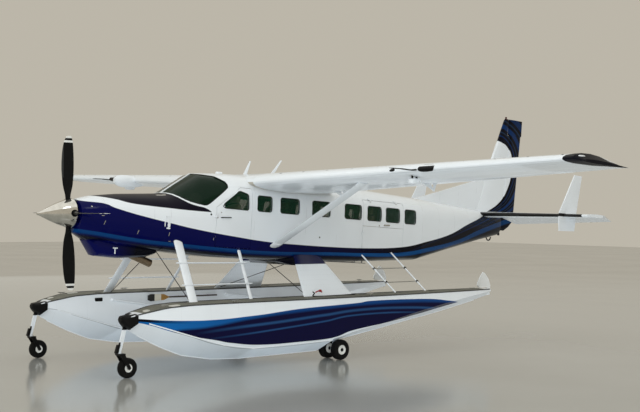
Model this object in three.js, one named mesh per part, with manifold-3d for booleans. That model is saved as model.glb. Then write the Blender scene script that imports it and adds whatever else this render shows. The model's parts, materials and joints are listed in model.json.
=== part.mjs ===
// Single-turboprop high-wing utility aircraft on twin amphibious floats, parked on its float wheels.
// Millimetres, +X to port, +Y aft, +Z up. The origin is on the floor under the middle of the aircraft.
import * as THREE from "three";
import { mergeVertices } from "three/addons/utils/BufferGeometryUtils.js";
import Module from "manifold-3d";

const wasm = await Module();
wasm.setup();

// Driving dimensions
const LENGTH = 12668; // spinner tip to the rudder's trailing edge
const DATUM_HEIGHT = 2722; // spinner tip above the floor
const PITCH = THREE.MathUtils.degToRad(3.2); // the fuselage sits nose-up on its gear
const CABIN_HALF = 815;
const WALL = 45; // whole thickness of a cabin wall or door
const GAP = 0.3; // between pieces that touch
const SHUT = 6; // running gap round a door or a control surface

const FIREWALL_S = 2300;
const BULKHEAD_S = 8600;
const TAIL_S = 11850;
const BELT = { bottom: 293, top: 596 }; // cabin windows
const PANELS = { roof: 720, floor: -460 }; // heights where the cabin's panels meet

const WING = { root: CABIN_HALF + GAP, tip: 7935, flapEnd: 4900, aileronEnd: 7560 };
const FLAP = { drop: 190, stations: [1700, 4100] }; // pivots below the hinge wall, and their places
const STRUT = { chord: 230, thick: 84 };
const STAB = { height: 695, half: 3125, hingeS: 11700 };
const ELEVATOR_DROOP = 19; // it hangs on its lower stop when parked
const RUDDER_AXIS = { low: [11872, 300], high: [12132, 2660] };

const PROP = { y: 600, z: 2712, radius: 1350, down: THREE.MathUtils.degToRad(1.57) }; // thrust line nose-down
const FLOAT_X = 1631;
const WATER_RUDDER = { y: 9690, z: 1090, boss: 20 };
const NOSE_WHEEL = { y: 863, radius: 168.5, width: 128, swivelY: 715 };
const MAIN_WHEEL = { y: 5350, radius: 193, width: 160, offset: 180 };

const COLOURS = {
  // name: [colour, roughness, metalness]
  white: [0xeeeeea, 0.25, 0.0],
  navy: [0x0a1238, 0.2, 0.1],
  black: [0x101012, 0.5, 0.0],
  chrome: [0xd8d8d6, 0.08, 1.0],
  glass: [0x2c4034, 0.05, 0.0],
  rubber: [0x141414, 0.85, 0.0],
  metal: [0x9a9c9e, 0.4, 0.8],
  steel: [0x6f6258, 0.5, 0.7],
  trim: [0xb9ab94, 0.8, 0.0],
  wood: [0xa06a32, 0.6, 0.0],
};

// Solids

function solidOf(geometry) {
  const bare = geometry.index ? geometry.toNonIndexed() : geometry.clone();
  const only = new THREE.BufferGeometry().setAttribute("position", bare.getAttribute("position"));
  const merged = mergeVertices(only, 1e-3);
  return fromArrays(merged.getAttribute("position").array, new Uint32Array(merged.index.array));
}

function fromArrays(vertProperties, triVerts) {
  const made = new wasm.Manifold(new wasm.Mesh({ numProp: 3, vertProperties, triVerts }));
  if (made.volume() >= 0) return made;
  for (let i = 0; i < triVerts.length; i += 3) {
    [triVerts[i + 1], triVerts[i + 2]] = [triVerts[i + 2], triVerts[i + 1]];
  }
  return new wasm.Manifold(new wasm.Mesh({ numProp: 3, vertProperties, triVerts }));
}

function join(...solids) {
  return solids.reduce((sum, next) => sum.add(next));
}

function cut(solid, ...tools) {
  return tools.reduce((rest, tool) => rest.subtract(tool), solid);
}

// The largest separate body of a solid, for a piece whose far side is trimmed away.
function mainBody(solid) {
  return solid.decompose().reduce((best, body) => (body.volume() > best.volume() ? body : best));
}

// A closed skin through rings of equal point count, capped at both ends.
function loft(rings) {
  const count = rings[0].length;
  const points = rings.flat();
  const middle = (ring) =>
    ring.reduce((sum, p) => sum.add(p), new THREE.Vector3()).divideScalar(ring.length);
  points.push(middle(rings[0]), middle(rings[rings.length - 1]));
  const triangles = [];
  for (let r = 0; r < rings.length - 1; r++) {
    for (let i = 0; i < count; i++) {
      const a = r * count + i;
      const b = r * count + ((i + 1) % count);
      const starboard = points[a].x + points[b].x < 0; // its diagonals mirror the port side's
      if (starboard) triangles.push(a, b, b + count, a, b + count, a + count);
      else triangles.push(a, b, a + count, b, b + count, a + count);
    }
  }
  const last = (rings.length - 1) * count;
  for (let i = 0; i < count; i++) {
    const next = (i + 1) % count;
    triangles.push(points.length - 2, next, i);
    triangles.push(points.length - 1, last + i, last + next);
  }
  const array = new Float32Array(points.flatMap((p) => p.toArray()));
  return fromArrays(array, new Uint32Array(triangles));
}

// A flat outline of [horizontal, vertical] pairs, extruded along X between two places.
function slabAlongX(outline, from, to) {
  const shape = new THREE.Shape(outline.map(([s, w]) => new THREE.Vector2(s, w)));
  const geometry = new THREE.ExtrudeGeometry(shape, { depth: to - from, bevelEnabled: false });
  geometry.applyMatrix4(
    new THREE.Matrix4().makeBasis(
      new THREE.Vector3(0, 1, 0),
      new THREE.Vector3(0, 0, 1),
      new THREE.Vector3(1, 0, 0),
    ),
  );
  return solidOf(geometry.translate(from, 0, 0));
}

function box(x0, x1, y0, y1, z0, z1) {
  const geometry = new THREE.BoxGeometry(x1 - x0, y1 - y0, z1 - z0);
  return solidOf(geometry.translate((x0 + x1) / 2, (y0 + y1) / 2, (z0 + z1) / 2));
}

// A round bar between two points, with its own radius at each end.
function rod(from, to, radius, segments = 12, farRadius = radius) {
  const a = new THREE.Vector3(...from);
  const b = new THREE.Vector3(...to);
  const geometry = new THREE.CylinderGeometry(farRadius, radius, a.distanceTo(b), segments);
  const along = b.clone().sub(a).normalize();
  const turn = new THREE.Quaternion().setFromUnitVectors(new THREE.Vector3(0, 1, 0), along);
  geometry.applyQuaternion(turn);
  const centre = a.add(b).multiplyScalar(0.5);
  return solidOf(geometry.translate(centre.x, centre.y, centre.z));
}

// A turned piece: pairs of [radius, place along X], closed on itself or on the axis.
function turned(profile, segments, x, y, z) {
  const points = profile.map(([r, h]) => new THREE.Vector2(r, h));
  const geometry = new THREE.LatheGeometry(points, segments);
  return solidOf(geometry.rotateZ(-Math.PI / 2).translate(x, y, z));
}

// A streamlined bar: its section lies level, chord fore and aft.
function blade(low, high, chord, thick, points = 12) {
  const ring = ([x, y, z, scale = 1]) =>
    Array.from({ length: points }, (_, i) => {
      const a = (i / points) * 2 * Math.PI;
      return new THREE.Vector3(
        x + (Math.sin(a) * thick * scale) / 2,
        y + (Math.cos(a) * chord * scale) / 2,
        z,
      );
    });
  return loft([ring(low), ring(high)]);
}

// A box beam between two points; its section is level, with sides along X and Y.
function beam(low, high, depthX, depthY) {
  const corners = [[-1, -1], [1, -1], [1, 1], [-1, 1]];
  const ring = ([x, y, z]) =>
    corners.map(([i, j]) => new THREE.Vector3(x + (i * depthX) / 2, y + (j * depthY) / 2, z));
  return loft([ring(low), ring(high)]);
}

function mirrorX(solid) {
  return solid.mirror([1, 0, 0]);
}

// Scene graph

const aircraft = new THREE.Group();
aircraft.position.y = -LENGTH / 2;
const airframe = new THREE.Group(); // fuselage axes: Y is station s, Z is height w over the thrust line
airframe.position.z = DATUM_HEIGHT;
airframe.rotation.x = -PITCH;
aircraft.add(airframe);

function add(group, name, solid, colour) {
  const { vertProperties, triVerts, numProp } = solid.getMesh();
  const geometry = new THREE.BufferGeometry();
  const positions = new Float32Array((vertProperties.length / numProp) * 3);
  for (let i = 0; i < positions.length / 3; i++) {
    positions.set(vertProperties.subarray(i * numProp, i * numProp + 3), i * 3);
  }
  geometry.setAttribute("position", new THREE.BufferAttribute(positions, 3));
  geometry.setIndex(new THREE.BufferAttribute(new Uint32Array(triVerts), 1));
  geometry.computeVertexNormals();
  const [color, roughness, metalness] = COLOURS[colour];
  const material = new THREE.MeshStandardMaterial({ color, roughness, metalness });
  if (colour === "glass") Object.assign(material, { transparent: true, opacity: 0.5 });
  const mesh = new THREE.Mesh(geometry, material);
  mesh.name = name;
  group.add(mesh);
}

// The same piece on both sides, made to port and mirrored.
function addPair(group, name, solid, colour) {
  add(group, `${name}_port`, solid, colour);
  add(group, `${name}_starboard`, mirrorX(solid), colour);
}

// A solid given in level ground axes, moved into the fuselage axes.
function intoAirframe(solid) {
  const inverse = new THREE.Matrix4().makeRotationX(-PITCH);
  inverse.setPosition(0, 0, DATUM_HEIGHT).invert();
  return solid.transform(inverse.elements);
}

// The reverse: a solid in fuselage axes, as it stands over the ground.
function overGround(solid) {
  const matrix = new THREE.Matrix4().makeRotationX(-PITCH).setPosition(0, 0, DATUM_HEIGHT);
  return solid.transform(matrix.elements);
}

// Fuselage

const FUSELAGE = [
  // s, half width, top, shoulder, bottom, bilge, top power, bottom power
  [700, 320, 285, 0, -312, -20, 2.1, 2.1],
  [950, 440, 358, 0, -440, -60, 2.2, 2.2],
  [1500, 560, 433, 20, -520, -120, 2.3, 2.5],
  [2300, 668, 500, 50, -560, -200, 2.4, 3.0],
  [2434, 686, 524, 50, -568, -215, 2.4, 3.0],
  [2700, 722, 706, 50, -580, -245, 2.2, 3.1],
  [3050, 768, 937, 100, -602, -290, 2.2, 3.2],
  [3300, 795, 966, 250, -614, -320, 2.4, 3.4],
  [3600, CABIN_HALF, 988, 400, -620, -350, 2.5, 3.5],
  [4300, CABIN_HALF, 1010, 450, -622, -350, 2.6, 3.5],
  [5800, CABIN_HALF, 1010, 450, -603, -350, 2.6, 3.5],
  [6700, CABIN_HALF, 985, 450, -580, -350, 2.6, 3.5],
  [BULKHEAD_S, 724, 910, 450, -470, -240, 2.5, 3.2],
  [9760, 535, 855, 430, -212, 60, 2.4, 2.6],
  [11000, 300, 786, 430, 76, 250, 2.2, 2.2],
  [11740, 135, 742, 500, 238, 400, 2.0, 2.0],
  [TAIL_S, 95, 730, 520, 285, 430, 2.0, 2.0],
];
const ARC_STEPS = 6;

// One closed ring of the fuselage, grown outwards by an amount in millimetres.
function fuselageRing([s, half, top, shoulder, bottom, bilge, topPower, bottomPower], grow = 0) {
  const ring = [];
  const quarter = (from, to, first, height, base, power) => {
    for (let i = first; i <= ARC_STEPS; i++) {
      const a = THREE.MathUtils.degToRad(from + ((to - from) * i) / ARC_STEPS);
      const c = Math.cos(a);
      const n = Math.abs(Math.sin(a));
      const x = Math.sign(c) * Math.abs(c) ** (2 / power) * (half + grow);
      const w = base + n ** (2 / power) * (height - base + Math.sign(height - base) * grow);
      ring.push(new THREE.Vector3(x, s, w));
    }
  };
  quarter(0, 90, 0, top, shoulder, topPower);
  quarter(90, 180, 1, top, shoulder, topPower);
  quarter(180, 270, 0, bottom, bilge, bottomPower);
  quarter(270, 360, 1, bottom, bilge, bottomPower);
  return ring;
}

// The fuselage form between two stations; the row at each end is worked out between its neighbours.
function fuselage(from, to, grow = 0) {
  const rowAt = (s) => {
    const next = Math.max(1, FUSELAGE.findIndex((row) => row[0] >= s - 1e-6));
    const [a, b] = [FUSELAGE[next - 1], FUSELAGE[next]];
    const t = (s - a[0]) / (b[0] - a[0]);
    return a.map((value, i) => value + (b[i] - value) * t);
  };
  const inside = FUSELAGE.filter((row) => row[0] > from + 1 && row[0] < to - 1);
  return loft([rowAt(from), ...inside, rowAt(to)].map((row) => fuselageRing(row, grow)));
}

function halfAt(s) {
  const next = FUSELAGE.findIndex((row) => row[0] >= s);
  const [a, b] = [FUSELAGE[next - 1], FUSELAGE[next]];
  return a[1] + ((b[1] - a[1]) * (s - a[0])) / (b[0] - a[0]);
}

const GROWN = fuselage(700, TAIL_S, GAP);

// Wing

const WING_SECTION = [
  // part of the chord, height over it: lower side from the hinge wall forward, then the upper side aft
  [0.72, -0.034], [0.4, -0.055], [0.15, -0.05], [0.04, -0.032], [0.006, -0.012],
  [0, 0.004], [0.008, 0.03], [0.05, 0.066], [0.15, 0.1], [0.32, 0.115], [0.52, 0.1], [0.72, 0.062],
];
const TRAILING = [
  // the part aft of the hinge line, without its nose
  [0.76, 0.053], [0.88, 0.026], [1, 0.002], [1, -0.001], [0.88, -0.017], [0.76, -0.03],
];

// Leading edge, chord and thickness of the wing at a distance out from the centre plane.
function wingAt(x) {
  const t = (x - 1000) / (WING.tip - 1000);
  return { s: 3975 + 525 * t, w: 840 + 290 * t, chord: 1985 - 735 * t, thick: 1 - 0.26 * t };
}

function wingPoint(x, [c, h], grow = 0) {
  const { s, w, chord, thick } = wingAt(x);
  const edge = c < 0.1 ? -grow : 0;
  const wash = -0.025 * c * chord; // the wing sits slightly nose-up on the fuselage
  return new THREE.Vector3(x, s + c * chord + edge, w + wash + h * chord * thick + Math.sign(h) * grow);
}

function wingRing(x, outline, grow = 0) {
  return outline.map((point) => wingPoint(x, point, grow));
}

// A closed round nose about the hinge point, then the trailing part of the section.
function surfaceRing(hinge, radius, trailing) {
  const nose = [];
  for (let i = 0; i <= 6; i++) {
    const a = -Math.PI / 2 - (i / 6) * Math.PI;
    nose.push(
      new THREE.Vector3(hinge.x, hinge.y + Math.cos(a) * radius, hinge.z + Math.sin(a) * radius),
    );
  }
  return [...nose, ...trailing];
}

function wingHinge(x) {
  const { chord, thick } = wingAt(x);
  const radius = 0.042 * chord * thick;
  const centre = wingPoint(x, [0.745, 0.011]);
  return { centre, radius };
}

function trailingSurface(from, to) {
  const ring = (x) => {
    const { centre, radius } = wingHinge(x);
    return surfaceRing(centre, radius, wingRing(x, TRAILING));
  };
  return loft([ring(from), ring(to)]);
}

// The wing ahead of its hinge wall, grown outwards by an amount in millimetres.
function wingForm(grow = 0) {
  return loft([WING.root, WING.aileronEnd + 40].map((x) => wingRing(x, WING_SECTION, grow)));
}

function makeWing() {
  const main = wingForm();
  const full = [...TRAILING, ...WING_SECTION];
  const fullRing = (x, grow = 0) => wingRing(x, full, grow);
  const rootRib = loft([WING.root, WING.root + 60].map((x) => fullRing(x)));
  const tipShape = [WING.aileronEnd + SHUT, 7820, WING.tip];
  const tip = loft(
    tipShape.map((x, i) => {
      const ring = fullRing(x);
      if (i < 2) return ring;
      const { s, chord } = wingAt(x);
      const shrink = (p) => new THREE.Vector3(x, s + 90 + (p.y - s) * 0.9, p.z * 0.35 + 0.65 * ring[6].z);
      return ring.map(shrink).map((p) => p.setY(Math.min(p.y, s + chord)));
    }),
  );
  const clear = SHUT + 2;
  const meeting = WING.flapEnd + SHUT / 2;
  const coves = [[WING.root + 60, meeting], [meeting, WING.aileronEnd + SHUT]];
  const tools = coves.map(([from, to]) => {
    const ring = (x) => {
      const { centre, radius } = wingHinge(x);
      const wall = centre.y - radius - clear;
      return [[wall, -400], [wall + 1400, -400], [wall + 1400, 400], [wall, 400]].map(
        ([y, z]) => new THREE.Vector3(x, y, centre.z + z),
      );
    };
    return loft([ring(from), ring(to)]);
  });
  return cut(join(main, rootRib, tip), ...tools);
}

const aileronSpan = [WING.flapEnd + SHUT + 4, WING.aileronEnd - SHUT];
const flapSpan = [WING.root + 80, WING.flapEnd - SHUT];

// A stub on the hinge line whose flat end runs against the rib beside it.
function hingeStub(from, to, at, radius = 12) {
  const ring = (x) =>
    Array.from({ length: 12 }, (_, i) => {
      const a = (i / 12) * 2 * Math.PI;
      return new THREE.Vector3(x, at(x).y + Math.cos(a) * radius, at(x).z + Math.sin(a) * radius);
    });
  return loft([ring(from), ring(to)]);
}

const wingSolid = makeWing();

// The flaps hang on arms that pivot below the wing, so they move aft as they go down.
function makeFlapArms() {
  const drop = new THREE.Vector3(0, 0, -FLAP.drop);
  const pivot = (x) => wingHinge(x).centre.add(drop);
  const along = pivot(FLAP.stations[1]).sub(pivot(FLAP.stations[0])).normalize();
  const up = new THREE.Vector3().crossVectors(along, new THREE.Vector3(0, 1, 0)).normalize();
  const aft = new THREE.Vector3().crossVectors(up, along);
  const plate = (x, from, to, outline) => {
    const ring = (d) =>
      outline.map(([y, z]) =>
        pivot(x).addScaledVector(along, d).addScaledVector(aft, y).addScaledVector(up, z),
      );
    return loft([ring(from), ring(to)]);
  };
  const disc = Array.from({ length: 12 }, (_, i) => {
    const a = (i / 12) * 2 * Math.PI;
    return [Math.cos(a) * 20, Math.sin(a) * 20];
  });
  const boss = (x, from, to) => plate(x, from, to, disc);
  const fixedArm = [[-20, 0], [0, -20], [12, 12], [-120, FLAP.drop - 40], [-330, FLAP.drop - 60]];
  const flapArm = [[-14, -14], [18, 0], [70, FLAP.drop - 40], [-10, FLAP.drop - 40]];
  return {
    fixed: FLAP.stations.map((x) => join(boss(x, 0, 12), plate(x, 0, 12, fixedArm))),
    moving: FLAP.stations.map((x) =>
      join(boss(x, 12 + GAP, 24 + GAP), plate(x, 12 + GAP, 24 + GAP, flapArm)),
    ),
  };
}

const flapArms = makeFlapArms();

function addWings() {
  addPair(airframe, "wing", join(wingSolid, ...flapArms.fixed), "white");
  const hingeAt = (x) => wingHinge(x).centre;
  const aileron = join(
    trailingSurface(...aileronSpan),
    hingeStub(aileronSpan[1] - 20, WING.aileronEnd + SHUT - GAP, hingeAt),
  );
  addPair(airframe, "aileron", aileron, "white");
  addPair(airframe, "flap", join(trailingSurface(...flapSpan), ...flapArms.moving), "white");
}

function addWingStruts() {
  const bar = blade([700, 4570, -390], [3290, 4625, 880], STRUT.chord, STRUT.thick, 16);
  addPair(airframe, "wing_strut", mainBody(cut(bar, GROWN, wingForm(GAP))), "white");
}

function addRadarPod() {
  const x = 4100;
  const { s, w } = wingAt(x);
  const profile = [
    [0, -430], [60, -415], [105, -360], [135, -260], [142, -120], [130, 60], [90, 260], [40, 400], [0, 440],
  ];
  const points = profile.map(([r, h]) => new THREE.Vector2(r, h));
  const pod = solidOf(new THREE.LatheGeometry(points, 16).translate(x, s, w - 30));
  add(airframe, "radar_pod", mirrorX(mainBody(cut(pod, wingForm(GAP)))), "white");
}

// Cabin

const WINDOWS = [
  // front, rear
  [4100, 4450], [4650, 5120], [5440, 5910], [6290, 6750], [6920, 7330], [7460, 7880], [8030, 8380],
];
const CREW_DOOR = [[3200, -420], [3980, -420], [3980, 712], [3722, 712], [3200, 310]];
const CREW_PANE = [[3345, 300], [3905, 292], [3900, 594], [3690, 655], [3335, 372]];
const CARGO = { front: 6800, rear: 8000, low: -330, split: 180, high: 712 };
const STAIR = { front: 7390, rear: 7950, low: -330, split: 180, high: 712 };
const WINDSHIELD = [
  [2434, 540], [2560, 440], [2700, 372], [2960, 322], [3070, 362], [3470, 690], [3470, 800], [3330, 905],
  [3050, 935], [3050, 1200], [2200, 1200], [2200, 540],
];
const POST = 26; // half width of the windshield's centre post

function rectangle({ front, rear }, low, high) {
  return [[front, low], [rear, low], [rear, high], [front, high]];
}

// An upper leaf draws in a little towards its hinge, because the skin's curve tilts its swing.
function upperLeaf({ front, rear, split, high }) {
  const [drawIn, from] = [8, high - 80];
  return [
    [front, split], [rear, split], [rear, from], [rear - drawIn, high], [front + drawIn, high], [front, from],
  ];
}

// The outline moved inwards by an amount, for convex outlines that run anticlockwise.
function inset(outline, amount) {
  const lines = outline.map((p, i) => {
    const q = outline[(i + 1) % outline.length];
    const length = Math.hypot(q[0] - p[0], q[1] - p[1]);
    const normal = [-(q[1] - p[1]) / length, (q[0] - p[0]) / length];
    return { p: [p[0] + normal[0] * amount, p[1] + normal[1] * amount], d: [q[0] - p[0], q[1] - p[1]] };
  });
  return lines.map((b, i) => {
    const a = lines[(i + lines.length - 1) % lines.length];
    const det = a.d[0] * b.d[1] - a.d[1] * b.d[0];
    const t = ((b.p[0] - a.p[0]) * b.d[1] - (b.p[1] - a.p[1]) * b.d[0]) / det;
    return [a.p[0] + a.d[0] * t, a.p[1] + a.d[1] * t];
  });
}

function windowOutline([front, rear]) {
  const c = 50;
  const { bottom, top } = BELT;
  return [
    [front + c, bottom], [rear - c, bottom], [rear, bottom + c], [rear, top - c],
    [rear - c, top], [front + c, top], [front, top - c], [front, bottom + c],
  ];
}

const SHELL = cut(fuselage(FIREWALL_S + GAP, BULKHEAD_S), fuselage(FIREWALL_S - 10, BULKHEAD_S + 10, -WALL));

function throughSide(outline) {
  return slabAlongX(outline, 250, 1200);
}

// Two hinge knuckles on one line, proud of the skin: one half stays, the other goes with the door.
// across points from the hinge line over the door, out points away from the cabin.
function knuckles(from, to, across, out, places) {
  const a = new THREE.Vector3(...from);
  const along = new THREE.Vector3(...to).sub(a);
  const span = along.length();
  along.normalize();
  const square = (v) => v.addScaledVector(along, -v.dot(along)).normalize();
  const side = square(new THREE.Vector3(...across));
  const outward = square(new THREE.Vector3(...out));
  const half = (start, sign) => {
    const length = 45;
    const p = a.clone().addScaledVector(along, start);
    const q = p.clone().addScaledVector(along, length);
    const barrel = rod(p.toArray(), q.toArray(), 8, 10);
    const leaf = [
      [0, -6], [38, -6], [38, 0], [0, 0],
    ];
    const ring = (base) =>
      leaf.map(([reach, rise]) =>
        base.clone().addScaledVector(side, sign * reach).addScaledVector(outward, rise),
      );
    const root = [[24, -45], [38, -45], [38, 0], [24, 0]];
    const rootRing = (base) =>
      root.map(([reach, rise]) =>
        base.clone().addScaledVector(side, sign * reach).addScaledVector(outward, rise),
      );
    return join(barrel, loft([ring(p), ring(q)]), loft([rootRing(p), rootRing(q)]));
  };
  const fixed = join(...places.map((t) => half(t * span, -1)));
  const moving = join(...places.map((t) => half(t * span + 45 + GAP, 1)));
  return { fixed, moving };
}

const PROUD = 14; // hinge lines stand this far off the skin

function crewDoorHinge() {
  const x = halfAt(CREW_DOOR[0][0]) + PROUD;
  const s = CREW_DOOR[0][0] - SHUT / 2 + 1;
  const line = { from: [x, s, -330], to: [x, s, 230] };
  return { ...line, ...knuckles(line.from, line.to, [0.06, 1, 0], [1, -0.06, 0], [0.05, 0.8]) };
}

function lowerCargoHinge() {
  const x = halfAt(CARGO.front) + PROUD;
  const s = CARGO.front;
  const line = { from: [x, s, -330], to: [x, s, 140] };
  return { ...line, ...knuckles(line.from, line.to, [-0.045, 1, 0], [1, 0.045, 0], [0.05, 0.7]) };
}

// The skin's half width at a station and height.
function skinX(s, w) {
  const next = FUSELAGE.findIndex((row) => row[0] >= s);
  const [a, b] = [FUSELAGE[next - 1], FUSELAGE[next]];
  const t = (s - a[0]) / (b[0] - a[0]);
  const row = a.map((value, i) => value + (b[i] - value) * t);
  const [, half, top, shoulder, bottom, bilge, topPower, bottomPower] = row;
  if (w > shoulder) return half * (1 - ((w - shoulder) / (top - shoulder)) ** topPower) ** (1 / topPower);
  if (w < bilge) {
    return half * (1 - ((bilge - w) / (bilge - bottom)) ** bottomPower) ** (1 / bottomPower);
  }
  return half;
}

function levelHinge(door, w, across, out, places) {
  const shift = PROUD / Math.SQRT2;
  const [aside, raise] = across[2] < 0 ? [shift, shift] : [PROUD, 0];
  const line = {
    from: [skinX(door.front, w) + aside, door.front + 60, w + raise],
    to: [skinX(door.rear, w) + aside, door.rear - 60, w + raise],
  };
  return { ...line, ...knuckles(line.from, line.to, across, out, places) };
}

const hinges = {
  crew: crewDoorHinge(),
  cargoLower: lowerCargoHinge(),
  cargoUpper: levelHinge(CARGO, CARGO.high, [0.5, 0, -0.86], [0.86, 0, 0.5], [0.08, 0.8]),
  stairUpper: levelHinge(STAIR, STAIR.high, [0.5, 0, -0.86], [0.86, 0, 0.5], [0.08, 0.7]),
  stairLower: levelHinge(STAIR, STAIR.low, [0, 0, 1], [1, 0, 0], [0.08, 0.7]),
};

// One leaf of a door: the wall inside an outline, less the running gap, the panes and the hinge side.
function doorLeaf(outline, panes, moving) {
  const leaf = SHELL.intersect(throughSide(inset(outline, SHUT / 2)));
  return join(cut(leaf, ...panes.map(throughSide)), moving);
}

function addCabin() {
  const band = (low, high, x0, x1) => box(x0, x1, FIREWALL_S, BULKHEAD_S, low, high);
  const shieldOpening = slabAlongX(WINDSHIELD, -1200, 1200);
  const side = (openings, panes, fixed) => {
    const wall = SHELL.intersect(band(PANELS.floor + GAP, PANELS.roof - GAP, GAP / 2, 1200));
    const cutters = [...openings.map((o) => throughSide(inset(o, -SHUT / 2))), ...panes.map(throughSide)];
    return join(mainBody(cut(wall, shieldOpening, ...cutters)), ...fixed);
  };
  const cargo = [rectangle(CARGO, CARGO.low, CARGO.high)];
  const stair = [rectangle(STAIR, STAIR.low, STAIR.high)];
  const fixedPanes = (door) =>
    WINDOWS.filter(([front, rear]) => rear < door.front || front > door.rear).map(windowOutline);
  const port = side(
    [CREW_DOOR, ...cargo],
    fixedPanes(CARGO),
    [hinges.crew.fixed, hinges.cargoLower.fixed],
  );
  const starboard = side(
    [CREW_DOOR, ...stair],
    fixedPanes(STAIR),
    [hinges.crew.fixed, hinges.stairLower.fixed],
  );
  add(airframe, "cabin_side_port", port, "white");
  add(airframe, "cabin_side_starboard", mirrorX(starboard), "white");

  const floor = SHELL.intersect(box(-1200, 1200, FIREWALL_S, BULKHEAD_S, -900, PANELS.floor));
  const boards = fuselage(2400, 8300, -WALL / 2).intersect(
    box(-1200, 1200, 2350, 8400, -900, PANELS.floor),
  );
  add(airframe, "cabin_floor", join(floor, boards), "navy");

  const crown = SHELL.intersect(box(-1200, 1200, 3000, BULKHEAD_S, PANELS.roof, 1300));
  const overDeck = join(shieldOpening, box(-1200, 1200, 3040, 3200, 700, 1300)).translate([
    0, 0, GAP,
  ]);
  const post = SHELL.intersect(box(-POST, POST, 2434, 3100, 480, 1200)).intersect(overDeck);
  const centre = cut(wingCentre(0), SHELL_INSIDE).intersect(
    box(-1200, 1200, 3000, BULKHEAD_S, PANELS.roof, 1300),
  );
  const roof = join(cut(crown, shieldOpening), mainBody(post), centre);
  const fixed = [hinges.cargoUpper.fixed, mirrorX(hinges.stairUpper.fixed)];
  add(airframe, "cabin_roof", mainBody(join(roof, ...fixed)), "white");
}

const SHELL_INSIDE = fuselage(FIREWALL_S - 10, BULKHEAD_S + 10, -WALL);

// The wing's middle, which runs over the cabin as part of the roof.
function wingCentre(grow) {
  const full = [...TRAILING, ...WING_SECTION];
  const at = wingRing(CABIN_HALF, full, grow);
  const ring = (x) => at.map((p) => new THREE.Vector3(x, p.y, p.z));
  return loft([ring(-CABIN_HALF), ring(CABIN_HALF)]);
}

function addGlazing() {
  const sheet = cut(fuselage(2380, 3560, -12), fuselage(2370, 3570, -24));
  const aperture = slabAlongX(inset(WINDSHIELD, GAP), -1200, 1200);
  const behindPost = box(-POST - GAP, POST + GAP, 2300, 3600, 0, 1200);
  const glass = cut(sheet.intersect(aperture), behindPost);
  add(airframe, "windshield_port", mainBody(glass.intersect(box(0, 1200, 2300, 3700, 0, 1200))), "glass");
  add(
    airframe,
    "windshield_starboard",
    mainBody(glass.intersect(box(-1200, 0, 2300, 3700, 0, 1200))),
    "glass",
  );

  // Inside the wall the side panes of one group run on behind it as a single strip.
  const inner = cut(fuselage(3900, 7000, -WALL - GAP), fuselage(3890, 7010, -WALL - 8));
  const strip = inner.intersect(box(0, 1200, 4050, 6780, BELT.bottom - 30, BELT.top + 30));
  addPair(airframe, "side_windows", strip, "glass");
}

function addDoors() {
  const crew = doorLeaf(CREW_DOOR, [CREW_PANE], hinges.crew.moving);
  addPair(airframe, "crew_door", crew, "white");
  const paneIn = (door) =>
    WINDOWS.filter(([front, rear]) => front > door.front && rear < door.rear).map(windowOutline);
  const upper = (door, hinge) => doorLeaf(upperLeaf(door), paneIn(door), hinge.moving);
  const lower = (door, hinge) => doorLeaf(rectangle(door, door.low, door.split), [], hinge.moving);
  add(airframe, "cargo_door_upper", upper(CARGO, hinges.cargoUpper), "white");
  add(airframe, "cargo_door_lower", lower(CARGO, hinges.cargoLower), "white");
  add(airframe, "stair_door_upper", mirrorX(upper(STAIR, hinges.stairUpper)), "white");
  add(airframe, "stair_door_lower", mirrorX(lower(STAIR, hinges.stairLower)), "white");
}

function addInterior() {
  const rows = [
    // station of the seat's front, seats across, half spacing
    [3350, 330], [4250, 380], [5100, 380], [5950, 380], [6750, 380],
  ];
  const seat = (s, x) => {
    const cushion = box(x - 200, x + 200, s, s + 430, -220, -100);
    const backOutline = [[s + 380, -220], [s + 470, -220], [s + 600, 420], [s + 520, 420]];
    const back = slabAlongX(backOutline, x - 200, x + 200);
    const legs = box(x - 150, x + 150, s + 60, s + 360, PANELS.floor + GAP, -200);
    return join(cushion, back, legs);
  };
  const rails = box(-500, 500, 3300, 7200, PANELS.floor + GAP, PANELS.floor + 20);
  const seats = rows.flatMap(([s, x]) => [seat(s, x), seat(s, -x)]);
  add(airframe, "cabin_seats", join(...seats, rails), "trim");

  const panel = slabAlongX([[2500, 60], [2900, 60], [2950, 330], [2800, 400], [2500, 380]], -560, 560);
  const pedestal = box(-110, 110, 2600, 3150, PANELS.floor + GAP, 100);
  const inside = fuselage(2350, 3300, -WALL - GAP);
  add(airframe, "instrument_panel", join(panel, pedestal).intersect(inside), "black");
}

// Nose

const SCOOP = [
  // s, half width, top, bottom
  [930, 150, -380, -440], [1133, 250, -380, -700], [1564, 280, -400, -722], [2069, 270, -400, -692],
  [2297, 230, -450, -620],
];

// The air scoop under the cowl, grown outwards by an amount in millimetres.
function scoopForm(grow = 0) {
  const power = 0.6;
  return loft(
    SCOOP.map(([s, half, top, bottom]) =>
      Array.from({ length: 12 }, (_, i) => {
        const a = (i / 12) * 2 * Math.PI;
        const x = Math.sign(Math.cos(a)) * Math.abs(Math.cos(a)) ** power * (half + grow);
        const z = Math.sign(Math.sin(a)) * Math.abs(Math.sin(a)) ** power;
        return new THREE.Vector3(x, s, (top + bottom) / 2 + z * ((top - bottom) / 2 + grow));
      }),
    ),
  );
}

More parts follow.
